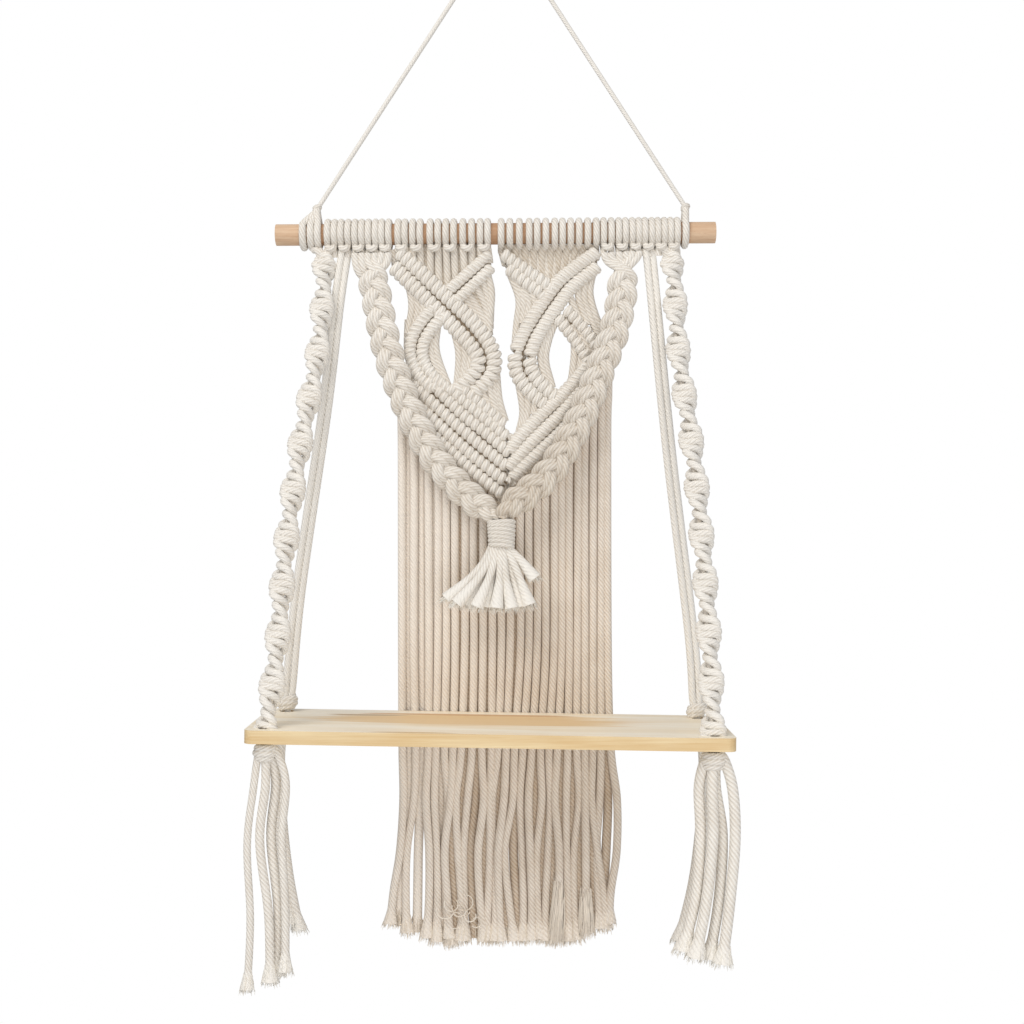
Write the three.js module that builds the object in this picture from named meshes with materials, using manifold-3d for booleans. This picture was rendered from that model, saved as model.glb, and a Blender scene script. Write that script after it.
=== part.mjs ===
// Macrame rope hanging shelf: a dowel carries knotted cotton rope, and four side ropes carry a pine board.
// Millimetres. X runs to the right, Y towards the wall and Z up. The hanger cord hangs on the origin.
import * as THREE from "three";
import { mergeVertices } from "three/addons/utils/BufferGeometryUtils.js";
import Module from "manifold-3d";

const wasm = await Module();
wasm.setup();

// Driving sizes
const GAP = 0.3;
const RING_GAP = 0.4;
const ROPE = 6;
const ROPE_SIDES = 4;
const DOWEL = { diameter: 19, left: -202, right: 190.6, leftZ: -269.2, rightZ: -266.9, sides: 24 };
const BOARD = {
  width: 400.4,
  depth: 130,
  thickness: 11,
  middleX: -8.7,
  back: 7,
  topZ: -697,
  fall: 6.7,
  corner: 8,
  hole: 13,
};
const HANGER = { diameter: 4, sides: 8, steps: 36 };
const HEAD = { width: 11, height: 5.6, sides: 8, drop: 12 };
const BAR = { width: 11.4, depth: 11, sides: 4, ridge: 18, waist: 0.76, depthY: -5.5 };
const PLAIT = { width: 22, thickness: 13, lobe: 18, swell: 0.14 };
const SINNET = { wide: 20, narrow: 12, lumps: 11, stepsPerLump: 4, sides: 6, twistPerLump: 0.8 };
const STEM = 10.8;
const STEM_RISE = 6;
const TIE_SIDES = 8;
const CURTAIN = {
  topY: 2.65,
  strandY: 11,
  stripWidth: 12,
  stripDepth: 5,
  stripSteps: 16,
  steps: 5,
  fanZ: -570,
  boardZ: -730,
};

const COTTON = { color: 0xede8e0, roughness: 0.92 };
const COTTON_SHADE = { color: 0xdccdb9, roughness: 0.92 };
const BEECH = { color: 0xd9a982, roughness: 0.6 };
const PINE = { color: 0xe9d9be, roughness: 0.55 };

// Lark's head knots along the dowel: the middle of each, and the piece that its two strands go on into
const HEADS = [
  { x: -165.5, piece: "sinnet_left" },
  { x: -152.4, piece: "sinnet_left" },
  { x: -140.4, piece: "rear_rope_left" },
  { x: -128.1, piece: "plaits" },
  { x: -116, piece: "plaits" },
  { x: -104.2, piece: "plaits" },
  { x: -89.6, piece: "panel_left" },
  { x: -76.4, piece: "panel_left" },
  { x: -60.6, piece: "panel_left" },
  { x: -46.6, piece: "panel_left" },
  { x: -31, piece: "panel_left" },
  { x: -16.2, piece: "panel_left" },
  { x: 3.1, piece: "panel_right" },
  { x: 19.8, piece: "panel_right" },
  { x: 35.1, piece: "panel_right" },
  { x: 50.5, piece: "panel_right" },
  { x: 64.9, piece: "panel_right" },
  { x: 80.2, piece: "panel_right" },
  { x: 94, piece: "plaits" },
  { x: 107, piece: "plaits" },
  { x: 119, piece: "plaits" },
  { x: 130.4, piece: "rear_rope_right" },
  { x: 141.8, piece: "sinnet_right" },
  { x: 153.2, piece: "sinnet_right" },
];

// Rows of hitches tied over a holding cord, as courses of [x, z] along the middle of each row
const BARS = [
  {
    row: "left_a1",
    course: [[-89, -290], [-54.7, -322], [-25.6, -349], [-9.8, -373], [-9.8, -396], [-31, -417]],
  },
  {
    row: "left_a2",
    course: [[-93.5, -303], [-62.3, -332.7], [-36.5, -359.8], [-23.2, -379], [-26.7, -393], [-36.5, -405]],
  },
  { row: "left_b1", course: [[-13.4, -290], [-47.2, -320]] },
  { row: "left_b2", course: [[-11.6, -301.5], [-40.7, -328.5]] },
  { row: "left_b1_lower", course: [[-60, -331], [-79.3, -359], [-81.9, -374.5], [-73.5, -400.6]] },
  { row: "left_b2_lower", course: [[-48, -340], [-67, -363.5], [-71.2, -380], [-51.9, -409.2]] },
  { row: "left_v1", course: [[-38, -412], [6, -450]] },
  { row: "left_v2", course: [[-54, -407], [6, -466]] },
  { row: "left_v3", course: [[-74.5, -398], [-62.3, -421.7], [6, -482.5]] },
  { row: "left_v4", course: [[-62, -441], [6, -497]] },
  { row: "left_v5", course: [[-50, -465], [4, -511]] },
  { row: "right_c1", course: [[82.8, -288.5], [50.6, -312.2], [27.9, -343.6], [12, -378], [15, -398]] },
  { row: "right_c2", course: [[82.8, -300.4], [60.3, -320], [38.6, -350], [25.8, -378], [44, -410]] },
  { row: "right_d1", course: [[1.8, -291], [45, -319]] },
  { row: "right_d2", course: [[7.4, -306], [39, -328]] },
  { row: "right_d1_lower", course: [[54, -333], [84, -371]] },
  { row: "right_d2_lower", course: [[46, -342], [68, -372]] },
  { row: "right_e1", course: [[69, -397], [41, -426.6], [3, -463]] },
  { row: "right_e2", course: [[66, -414], [38, -444], [4, -477]] },
  { row: "right_e3", course: [[50, -449], [4, -492]] },
];

// Strands that cross the panel between two rows, from their top through the middle to their foot
const CROSSING_STRANDS = [
  { top: [-84.7, -311], middle: [-81.1, -338.8], foot: [-86, -372] },
  { top: [-75.8, -320], middle: [-75, -339.7], foot: [-82, -365] },
  { top: [-67.7, -327], middle: [-68.6, -339.7], foot: [-75, -352] },
  { top: [-57, -346], middle: [-60.6, -374.4], foot: [-46, -412] },
  { top: [-64.2, -358], middle: [-64.2, -383.3], foot: [-53.5, -406] },
  { top: [-44, -352], middle: [-35.7, -376.2], foot: [-41, -412] },
  { top: [-34.8, -362], middle: [-31.2, -379.8], foot: [-35, -402] },
  { top: [-29, -315], middle: [-16.9, -342.3], foot: [-9, -368] },
  { top: [-12.5, -302], middle: [-9.8, -324.5], foot: [-13, -356] },
  { top: [-8, -392], middle: [-4, -417], foot: [3, -444] },
  { top: [-16.1, -400], middle: [-11.6, -421.7], foot: [-2, -443] },
  { top: [7, -305], middle: [16.9, -331.7], foot: [16, -362] },
  { top: [15, -310], middle: [23.2, -329.9], foot: [24, -352] },
  { top: [79, -300], middle: [76.6, -326.3], foot: [88, -352] },
  { top: [70, -314], middle: [76.6, -338.8], foot: [86, -366] },
  { top: [57, -338], middle: [67.7, -372.6], foot: [60, -408] },
  { top: [66, -348], middle: [74, -372.6], foot: [72, -396] },
  { top: [40, -350], middle: [37, -380], foot: [49, -414] },
  { top: [14, -388], middle: [19, -414], foot: [17, -452] },
  { top: [24, -396], middle: [29, -416], foot: [27, -441] },
  { top: [-34, -420], middle: [-33, -445], foot: [-32, -482] },
  { top: [-12, -438], middle: [-10, -468], foot: [-8, -503] },
  { top: [27, -438], middle: [24, -452], foot: [22, -476] },
];

// Middle lines of the plaits and side ropes, as points [x, y, z] from the dowel down
const PLAIT_ROUTES = [
  {
    plait: "left",
    route: [
      [-116, -5, -281], [-115.6, -7, -303], [-110.7, -12, -329], [-104.5, -17, -360], [-96.6, -19, -389],
      [-79.7, -19, -432], [-60.2, -19, -468.3], [-44.3, -19, -488], [-28.3, -19, -503], [-5, -19, -514.1],
    ],
  },
  {
    plait: "right",
    route: [
      [107, -5, -280], [107.7, -7, -303], [105.9, -12, -326.5], [100.2, -17, -354], [90.4, -19, -382],
      [70.9, -20, -431], [49.7, -21, -471], [34.6, -23, -490], [17.8, -24, -505], [-3, -21, -514.1],
    ],
  },
];
const SINNET_ROUTES = [
  {
    piece: "sinnet_left",
    route: [
      [-158.5, -4, -281], [-158.6, -12, -320], [-162, -26, -379], [-174.3, -46, -461], [-182.6, -67, -542],
      [-186.1, -88, -620], [-188.8, -98, -656.6], [-193.3, -108, -690.4],
    ],
  },
  {
    piece: "sinnet_right",
    route: [
      [151, -4, -280], [153, -11, -320], [154.8, -25, -377], [164.3, -46, -462], [170.3, -66, -544],
      [173, -87, -621], [173.7, -97, -661], [173.9, -108, -696.9],
    ],
  },
];
const REAR_ROUTES = [
  {
    piece: "rear_rope_left",
    route: [[-140, -3, -281], [-146.6, -4, -331], [-157.8, -5, -426], [-180.7, -7, -586], [-191.1, -8, -690]],
  },
  {
    piece: "rear_rope_right",
    route: [[131, -3, -280], [134.3, -4, -315], [149.1, -5, -463], [168.1, -7, -623], [173.4, -8, -697]],
  },
];

// The hanger cord from the left tie over the nail to the right tie
const HANGER_ROUTE = [
  [-164, 0, -243.8], [-140, 0, -206.8], [-116, 0, -169.9], [-92, 0, -132.9], [-68, 0, -96], [-44, 0, -59],
  [-20, 0, -22.1], [-6.7, 0, -1.6], [-3.8, 0, 1.04], [0, 0, 2], [3.8, 0, 1.04], [6.7, 0, -1.6],
  [20, 0, -22.1], [44, 0, -59], [68, 0, -96], [92, 0, -132.9], [116, 0, -169.9], [140, 0, -206.8],
  [163.5, 0, -243],
];
const TIES = [
  { piece: "hanger_tie_left", ringX: -175.6, knotX: -165.9, knotZ: -247.8 },
  { piece: "hanger_tie_right", ringX: 162.2, knotX: 164.4, knotZ: -247.6 },
];

// Tassel strands: where each ends, sideways and in depth
const TASSEL = { x: -0.4, y: -19, top: -521.6, bottom: -546, width: 26, waist: 23, strandTopY: -19 };
const TASSEL_ENDS = [
  { x: -50, y: -24, z: -597 },
  { x: -40.5, y: -29, z: -600 },
  { x: -31, y: -22, z: -601 },
  { x: -22.8, y: -31, z: -602 },
  { x: -14, y: -24, z: -602.5 },
  { x: -5, y: -32, z: -603 },
  { x: 3, y: -21, z: -603 },
  { x: 9, y: -31, z: -603 },
  { x: 17, y: -23, z: -602 },
  { x: 25, y: -29, z: -600 },
  { x: 31, y: -22, z: -577 },
];

// Curtain strands at the height of the board, and how their ends drift and reach down
const CURTAIN_X = { lone: [-90, -78.5, -66.2], from: -58.2, to: 97, even: 21 };
const CURTAIN_ENDS = { z: -911, wave: 7, drift: 3.4, firstDrift: -10, lastDrift: 4 };

// Tails under the board: offsets from the hole at the knot, a third, two thirds and the end of each strand
const TAILS = [
  {
    piece: "tail_front_left",
    hole: [-193.3, -108],
    knot: [21, 20, 17],
    strands: [
      { near: -9, third: -13, far: -9, end: -12, y: -4, z: -913 },
      { near: -2, third: -4, far: 0, end: 5, y: 5, z: -899 },
      { near: 6, third: 7, far: 10, end: 7, y: -5, z: -905 },
      { near: 11, third: 16, far: 16.5, end: 14.5, y: 4, z: -890 },
    ],
  },
  {
    piece: "tail_front_right",
    hole: [173.9, -108],
    knot: [23, 20, 18],
    strands: [
      { near: -6, third: -7.5, far: -12, end: -20, y: 4, z: -889 },
      { near: 0, third: 0.5, far: -5, end: -13, y: -5, z: -884 },
      { near: 6, third: 2.5, far: -3, end: -9.5, y: 5, z: -887 },
      { near: 14, third: 19, far: 13, end: 8, y: -3, z: -886 },
    ],
  },
  {
    piece: "tail_rear_left",
    hole: [-191.1, -8],
    knot: [15, 13, 13],
    strands: [
      { near: -3.5, third: -2, far: 1, end: 2, y: -1, z: -888 },
      { near: 3.5, third: 5, far: 8, end: 11, y: 1, z: -896 },
    ],
  },
  {
    piece: "tail_rear_right",
    hole: [173.4, -8],
    knot: [15, 13, 13],
    strands: [
      { near: -3.5, third: -8, far: -11, end: -21, y: -1, z: -905 },
      { near: 3.5, third: -1, far: -4, end: -12, y: 1, z: -900 },
    ],
  },
];

const WALLWARD = new THREE.Vector3(0, 1, 0);

// Shapes that a piece is put together from
function course(points) {
  const places = points.map(([x, y, z]) => new THREE.Vector3(x, y, z));
  return new THREE.CatmullRomCurve3(places, false, "centripetal");
}

function polygon(sides, width, depth, turn = 0) {
  const corners = [];
  for (let i = 0; i < sides; i++) {
    const angle = turn + (2 * Math.PI * i) / sides;
    corners.push(new THREE.Vector2((width / 2) * Math.cos(angle), (depth / 2) * Math.sin(angle)));
  }
  return new THREE.Shape(corners);
}

// A closed solid of one section along a path. size scales the section and twist turns it, by the share
// of the path. sway moves every second step to one side and the others to the other side.
function swept(path, section, steps, size = () => 1, twist = () => 0, sway = 0) {
  const solid = new THREE.ExtrudeGeometry(section, { depth: 1, steps, bevelEnabled: false });
  const points = solid.getAttribute("position");
  for (let i = 0; i < points.count; i++) {
    const share = points.getZ(i);
    const along = path.getTangentAt(share);
    const side = WALLWARD.clone().cross(along).normalize();
    const out = along.clone().cross(side);
    const angle = twist(share);
    const scale = size(share);
    const swayed = (Math.round(share * steps) % 2 ? 0.5 : -0.5) * sway;
    const a = swayed + scale * (points.getX(i) * Math.cos(angle) - points.getY(i) * Math.sin(angle));
    const b = scale * (points.getX(i) * Math.sin(angle) + points.getY(i) * Math.cos(angle));
    const place = path.getPointAt(share).addScaledVector(side, a).addScaledVector(out, b);
    points.setXYZ(i, place.x, place.y, place.z);
  }
  return solid;
}

function strand(points, steps, size) {
  return swept(course(points), polygon(ROPE_SIDES, ROPE * 1.1, ROPE * 1.1, Math.PI / 4), steps, size);
}

function lump(x, y, z, width, depth, height) {
  const solid = new THREE.SphereGeometry(0.5, 8, 6);
  return solid.rotateX(Math.PI / 2).scale(width, depth, height).translate(x, y, z);
}

function solidOf(geometry) {
  const bare = geometry.clone();
  bare.deleteAttribute("normal");
  bare.deleteAttribute("uv");
  const merged = mergeVertices(bare, 1e-4);
  return new wasm.Manifold(
    new wasm.Mesh({
      numProp: 3,
      vertProperties: new Float32Array(merged.getAttribute("position").array),
      triVerts: new Uint32Array(merged.index.array),
    }),
  );
}

function geometryOf(solid) {
  const { vertProperties, triVerts, numProp } = solid.getMesh();
  const places = new Float32Array(triVerts.length * 3);
  triVerts.forEach((vertex, i) => {
    for (let k = 0; k < 3; k++) places[3 * i + k] = vertProperties[numProp * vertex + k];
  });
  const geometry = new THREE.BufferGeometry();
  geometry.setAttribute("position", new THREE.BufferAttribute(places, 3));
  geometry.computeVertexNormals();
  return geometry;
}

// One body from many that overlap. Pockets that the strands shut off between them are filled.
function joined(geometries) {
  const whole = geometries.map(solidOf).reduce((sum, next) => sum.add(next));
  const shells = whole.decompose().sort((a, b) => b.volume() - a.volume());
  if (shells.length > 1 && shells[1].volume() > 0) throw new Error("the parts of this piece lie apart");
  return geometryOf(shells[0]);
}

const shelf = new THREE.Group();

function addPiece(name, geometry, finish) {
  const mesh = new THREE.Mesh(geometry, new THREE.MeshStandardMaterial({ ...finish, metalness: 0 }));
  mesh.name = name;
  shelf.add(mesh);
  return mesh;
}

// Dowel
const DOWEL_TILT = Math.atan2(DOWEL.rightZ - DOWEL.leftZ, DOWEL.right - DOWEL.left);

function dowelZ(x) {
  return DOWEL.leftZ + (x - DOWEL.left) * Math.tan(DOWEL_TILT);
}

function addDowel() {
  const radius = DOWEL.diameter / 2;
  const length = DOWEL.right - DOWEL.left;
  const rod = new THREE.CylinderGeometry(radius, radius, length, DOWEL.sides).rotateZ(-Math.PI / 2);
  const mesh = addPiece("dowel", rod, BEECH);
  const middleX = (DOWEL.left + DOWEL.right) / 2;
  mesh.position.set(middleX, 0, dowelZ(middleX));
  mesh.rotation.y = -DOWEL_TILT;
}

// Board: it hangs a little lower on the right
const BOARD_TILT = Math.asin(BOARD.fall / BOARD.width);

function boardTop(x) {
  return BOARD.topZ - (x - BOARD.middleX) * Math.tan(BOARD_TILT);
}

function boardUnderside(x) {
  return boardTop(x) - BOARD.thickness / Math.cos(BOARD_TILT);
}

function boardOutline() {
  const { width, depth, corner } = BOARD;
  const right = width / 2;
  const outline = new THREE.Shape();
  outline.moveTo(-right + corner, -depth);
  outline.lineTo(right - corner, -depth);
  outline.absarc(right - corner, -depth + corner, corner, -Math.PI / 2, 0);
  outline.lineTo(right, -corner);
  outline.absarc(right - corner, -corner, corner, 0, Math.PI / 2);
  outline.lineTo(-right + corner, 0);
  outline.absarc(-right + corner, -corner, corner, Math.PI / 2, Math.PI);
  outline.lineTo(-right, -depth + corner);
  outline.absarc(-right + corner, -depth + corner, corner, Math.PI, 1.5 * Math.PI);
  return outline;
}

function addBoard() {
  const outline = boardOutline();
  for (const { hole } of TAILS) {
    const bore = new THREE.Path();
    const x = (hole[0] - BOARD.middleX) / Math.cos(BOARD_TILT);
    bore.absarc(x, hole[1] - BOARD.back, BOARD.hole / 2, 0, 2 * Math.PI, true);
    outline.holes.push(bore);
  }
  const plank = new THREE.ExtrudeGeometry(outline, {
    depth: BOARD.thickness,
    bevelEnabled: false,
    curveSegments: 5,
  });
  const mesh = addPiece("shelf_board", plank.translate(0, 0, -BOARD.thickness), PINE);
  mesh.position.set(BOARD.middleX, BOARD.back, BOARD.topZ);
  mesh.rotation.y = BOARD_TILT;
}

// Radius of a faceted ring that clears the dowel all round
function boreFor(sides) {
  return (DOWEL.diameter / 2 + RING_GAP) / Math.cos(Math.PI / sides);
}

// Lark's head: two turns side by side round the dowel, closed by a short bar under it
function headTurns(x) {
  const half = HEAD.width / 2;
  const bore = boreFor(HEAD.sides);
  const crest = bore + HEAD.height;
  const valley = bore + HEAD.height / 2;
  const outline = [
    [bore, -half], [crest, -0.62 * half], [valley, 0], [crest, 0.62 * half], [bore, half], [bore, -half],
  ];
  const profile = outline.map(([radius, across]) => new THREE.Vector2(radius, across));
  const turns = new THREE.LatheGeometry(profile, HEAD.sides);
  turns.rotateZ(Math.PI / 2);
  return turns.translate(x, 0, dowelZ(x));
}

function headBar(x, front) {
  const half = 0.45 * HEAD.width;
  const z = dowelZ(x) - 13.2;
  const y = front ? -8.5 : 8.5;
  const path = course([[x - half, y, z], [x + half, y, z]]);
  return swept(path, polygon(ROPE_SIDES, 1.15 * ROPE, 1.15 * ROPE), 1);
}

function headsOf(piece) {
  const front = piece !== "panel_right";
  return HEADS.filter((head) => head.piece === piece).flatMap(({ x }) => [headTurns(x), headBar(x, front)]);
}

// The pair of ropes that drops from each lark's head, side by side, to the row under it
function dropsOf(piece) {
  return HEADS.filter((head) => head.piece === piece).map(({ x }) => {
    const path = course([[x, -4, dowelZ(x) - HEAD.drop], [x, -5, firstRowZ(x)]]);
    return swept(path, polygon(4, 2.6 * ROPE, 1.3 * ROPE, Math.PI / 4), 1);
  });
}

// Panel: rows of hitches, with the strands that cross between them
function barOf({ course: line }) {
  const path = course(line.map(([x, z]) => [x, BAR.depthY, z]));
  const ridges = Math.max(2, Math.round(path.getLength() / BAR.ridge));
  const size = (share) => {
    const fromCrest = Math.abs(((share * ridges) % 1) - 0.5) * 2;
    return 1 - (1 - BAR.waist) * fromCrest;
  };
  return swept(path, polygon(BAR.sides, BAR.width, BAR.depth), 2 * ridges, size);
}

function crossingStrand({ top, middle, foot }) {
  return strand([top, middle, foot].map(([x, z]) => [x, -5, z]), 2);
}

// Height at which a strand that drops at x meets the topmost row under it
function firstRowZ(x) {
  const heights = [];
  for (const { course: line } of BARS) {
    for (let i = 0; i + 1 < line.length; i++) {
      const [[x0, z0], [x1, z1]] = [line[i], line[i + 1]];
      const share = (x - x0) / (x1 - x0);
      if (share >= 0 && share <= 1) heights.push(z0 + share * (z1 - z0));
    }
  }
  return heights.length ? Math.max(...heights) : dowelZ(x) - 3 * ROPE;
}

// Plait: one band whose lobes stand out to the left and right in turn, with a valley down its front
const PLAIT_SECTION = [[-1, 0], [-0.5, -1], [0, -0.6], [0.5, -1], [1, 0], [0.5, 0.8], [-0.5, 0.8]];

function plait({ route }) {
  const { width, thickness, lobe, swell } = PLAIT;
  const path = course(route);
  const steps = 2 * Math.round(path.getLength() / lobe);
  const cornerAt = ([across, out]) => new THREE.Vector2((across * width) / 2, (out * thickness) / 2);
  const corners = PLAIT_SECTION.map(cornerAt);
  const narrowing = (share) => Math.min(1, 0.55 + 5 * (1 - share));
  return swept(path, new THREE.Shape(corners), steps, narrowing, () => 0, swell * width);
}

function addPanel() {
  const parts = ["panel_left", "panel_right"].flatMap(headsOf);
  parts.push(...dropsOf("panel_left"), ...dropsOf("panel_right"));
  parts.push(...BARS.map(barOf), ...CROSSING_STRANDS.map(crossingStrand));
  addPiece("macrame_panel", joined(parts), COTTON);
}

function addPlaits() {
  addPiece("plaits", joined([...headsOf("plaits"), ...PLAIT_ROUTES.map(plait)]), COTTON);
}

// Tassel: a wrapped head, and the plaits' ropes that fan out of it
function addTassel() {
  const { x, y, top, bottom, width, waist } = TASSEL;
  const turns = 4;
  const height = top - bottom;
  const profile = [new THREE.Vector2(0, 0)];
  for (let i = 0; i <= 2 * turns; i++) {
    const radius = (i % 2 ? width : waist) / 2;
    profile.push(new THREE.Vector2(radius, (height * i) / (2 * turns)));
  }
  profile.push(new THREE.Vector2(0, height));
  const head = new THREE.LatheGeometry(profile, 12).rotateX(Math.PI / 2);
  head.scale(1, 0.8, 1).translate(x, y, bottom);
  const strands = TASSEL_ENDS.map((end) => {
    const startX = x + 0.2 * (end.x - x);
    const startY = y + 0.35 * (end.y - y + 7);
    const middle = [x + 0.5 * (end.x - x), (startY + end.y) / 2 - 2, (bottom + end.z) / 2 + 4];
    return strand([[startX, startY, bottom + 3], middle, [end.x, end.y, end.z]], 2, (s) => 1 + 0.6 * s ** 4);
  });
  addPiece("tassel", joined([head, ...strands]), COTTON);
}

// Curtain: strands that hang off a narrow strip behind the V, and pass between the board and the wall
const STRIP_ROUTE = [[-92, -424], [-50, -479], [-12, -506], [14, -500], [55, -459], [99, -390]];

function stripZ(x) {
  for (let i = 0; i + 1 < STRIP_ROUTE.length; i++) {
    const [[x0, z0], [x1, z1]] = [STRIP_ROUTE[i], STRIP_ROUTE[i + 1]];
    if (x <= x1) return z0 + ((x - x0) / (x1 - x0)) * (z1 - z0);
  }
  return STRIP_ROUTE.at(-1)[1];
}

function curtainStrandXs() {
  const { lone, from, to, even } = CURTAIN_X;
  const rest = Array.from({ length: even }, (_, i) => from + (i * (to - from)) / (even - 1));
  return [...lone, ...rest];
}

function curtainStrand(x, i, count) {
  const { wave, drift, firstDrift, lastDrift } = CURTAIN_ENDS;
  const middleShare = Math.sin((Math.PI * i) / (count - 1));
  const shortBy = i % (count - 1) ? 0 : 12;
  const endZ = CURTAIN_ENDS.z - wave * Math.sin(2.3 * i) * middleShare + shortBy;
  const endDrift = i === 0 ? firstDrift : i === count - 1 ? lastDrift : drift * Math.sin(1.7 * i);
  const places = [
    [x, CURTAIN.topY, stripZ(x)],
    [x, CURTAIN.topY + 4, stripZ(x) - 25],
    [x, CURTAIN.strandY, Math.min(CURTAIN.fanZ, stripZ(x) - 60)],
    [x, CURTAIN.strandY, CURTAIN.boardZ],
    [x + 0.3 * endDrift, CURTAIN.strandY - 1, (CURTAIN.boardZ + endZ) / 2],
    [x + endDrift, CURTAIN.strandY, endZ],
  ];
  return strand(places, CURTAIN.steps, (share) => (share > 0.99 ? 1.25 : 1));
}

function addCurtain() {
  const path = course(STRIP_ROUTE.map(([x, z]) => [x, CURTAIN.topY, z]));
  const section = polygon(4, CURTAIN.stripWidth, CURTAIN.stripDepth, Math.PI / 4);
  const strip = swept(path, section, CURTAIN.stripSteps);
  const xs = curtainStrandXs();
  const strands = xs.map((x, i) => curtainStrand(x, i, xs.length));
  addPiece("curtain", joined([strip, ...strands]), COTTON_SHADE);
}

// Stem that fills a hole of the board, from above its top down to the knot under it
function stem(hole) {
  const [x, y] = hole;
  const top = boardTop(x) + STEM_RISE;
  const bottom = boardUnderside(x) + GAP;
  return swept(course([[x, y, top], [x, y, bottom]]), polygon(8, STEM, STEM), 1);
}

function holeOf(piece) {
  const side = piece.endsWith("left") ? "left" : "right";
  const row = piece.startsWith("rear") ? "rear" : "front";
  return TAILS.find((tail) => tail.piece === `tail_${row}_${side}`).hole;
}

// Front side rope: a spiral of half knots that swells and narrows
function addSinnet({ piece, route }) {
  const { wide, narrow, lumps, stepsPerLump, sides, twistPerLump } = SINNET;
  const size = (share) => {
    const swell = Math.sin(Math.PI * share * lumps) ** 2;
    return (narrow + (wide - narrow) * swell) / wide;
  };
  const twist = (share) => twistPerLump * lumps * share;
  const rope = swept(course(route), polygon(sides, wide, 0.9 * wide), lumps * stepsPerLump, size, twist);
  addPiece(piece, joined([...headsOf(piece), rope, stem(holeOf(piece))]), COTTON);
}

// Rear side rope: two plain strands that end in a knot on the board
function addRearRope({ piece, route }) {
  const [x, y] = holeOf(piece);
  const strands = [-0.46 * ROPE, 0.46 * ROPE].map((across) =>
    strand(route.map(([px, py, pz]) => [px + across, py, pz]), 6),
  );
  const knot = lump(x, y, boardTop(x) + 8.5, 17, 14, 16);
  addPiece(piece, joined([...headsOf(piece), ...strands, knot, stem([x, y])]), COTTON);
}

// Tail: the stopper knot under a hole, with the rope ends that hang from it
function addTail({ piece, hole, knot, strands }) {
  const [x, y] = hole;
  const [width, depth, height] = knot;
  const top = boardUnderside(x) - GAP;
  const collar = new THREE.CylinderGeometry(STEM / 2, STEM / 2, height / 2, 8).rotateX(Math.PI / 2);
  collar.rotateY(BOARD_TILT).translate(x, y, top - height / 4);
  const head = lump(x, y, top - height / 2 - 1, width, depth, height);
  const ends = strands.map(({ near, third, far, end, y: depthY, z }) => {
    const start = top - 0.7 * height;
    const fall = z - start;
    const places = [
      [x + near * 0.6, y + depthY * 0.4, start],
      [x + near, y + depthY, start + 0.12 * fall],
      [x + third, y + depthY, start + 0.38 * fall],
      [x + far, y + depthY, start + 0.7 * fall],
      [x + end, y + depthY, z],
    ];
    return strand(places, 5, (share) => 1 + 0.5 * share ** 8);
  });
  addPiece(piece, joined([collar, head, ...ends]), COTTON);
}

// Hanger cord and its two ties
function addHanger() {
  const section = polygon(HANGER.sides, HANGER.diameter, HANGER.diameter, Math.PI / HANGER.sides);
  const path = course(HANGER_ROUTE);
  const settings = { extrudePath: path, steps: HANGER.steps, bevelEnabled: false };
  const cord = new THREE.ExtrudeGeometry(section, settings);
  addPiece("hanger_cord", cord, COTTON);
}

function addTie({ piece, ringX, knotX, knotZ }) {
  const bore = boreFor(TIE_SIDES);
  const thick = 4.6;
  const ring = [
    [bore, -thick / 2], [bore + thick, -thick / 4], [bore + thick, thick / 4], [bore, thick / 2],
    [bore, -thick / 2],
  ];
  const profile = ring.map(([radius, across]) => new THREE.Vector2(radius, across));
  const turn = new THREE.LatheGeometry(profile, TIE_SIDES).rotateZ(Math.PI / 2);
  turn.translate(ringX, 0, dowelZ(ringX));
  const bendX = ringX + 0.3 * (knotX - ringX);
  const lead = course([[ringX, 0, dowelZ(ringX) + bore + 1], [bendX, 0, knotZ], [knotX, 0, knotZ]]);
  const rise = swept(lead, polygon(6, thick, thick), 2);
  const knot = lump(knotX, 0, knotZ, 9, 9, 7);
  addPiece(piece, joined([turn, rise, knot]), COTTON);
}

addDowel();
addBoard();
addHanger();
TIES.forEach(addTie);
addPanel();
addPlaits();
addTassel();
addCurtain();
SINNET_ROUTES.forEach(addSinnet);
REAR_ROUTES.forEach(addRearRope);
TAILS.forEach(addTail);

export default shelf;
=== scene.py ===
"""Macrame rope hanging shelf, dressed for rendering. Metres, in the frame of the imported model.

The tables are in millimetres, as the solids are, and MM turns them to metres. Every rope is a line that one
Geometry Nodes tree makes round, and its material draws the twisted yarns.
"""
import math
import random

import bpy
from mathutils import Matrix, Vector


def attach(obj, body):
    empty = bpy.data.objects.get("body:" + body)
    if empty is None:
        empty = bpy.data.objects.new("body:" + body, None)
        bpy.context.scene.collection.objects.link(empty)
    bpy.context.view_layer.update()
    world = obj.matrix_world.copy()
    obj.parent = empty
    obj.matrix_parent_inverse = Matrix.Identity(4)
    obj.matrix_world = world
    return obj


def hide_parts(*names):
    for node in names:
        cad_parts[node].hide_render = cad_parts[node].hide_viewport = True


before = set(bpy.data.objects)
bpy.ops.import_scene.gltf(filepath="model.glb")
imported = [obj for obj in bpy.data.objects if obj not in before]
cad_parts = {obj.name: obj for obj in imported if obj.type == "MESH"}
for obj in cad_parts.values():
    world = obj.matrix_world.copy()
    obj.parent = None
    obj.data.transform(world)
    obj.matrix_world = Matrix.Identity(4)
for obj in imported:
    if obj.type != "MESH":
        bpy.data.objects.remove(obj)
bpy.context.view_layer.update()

MM = 0.001
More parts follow.
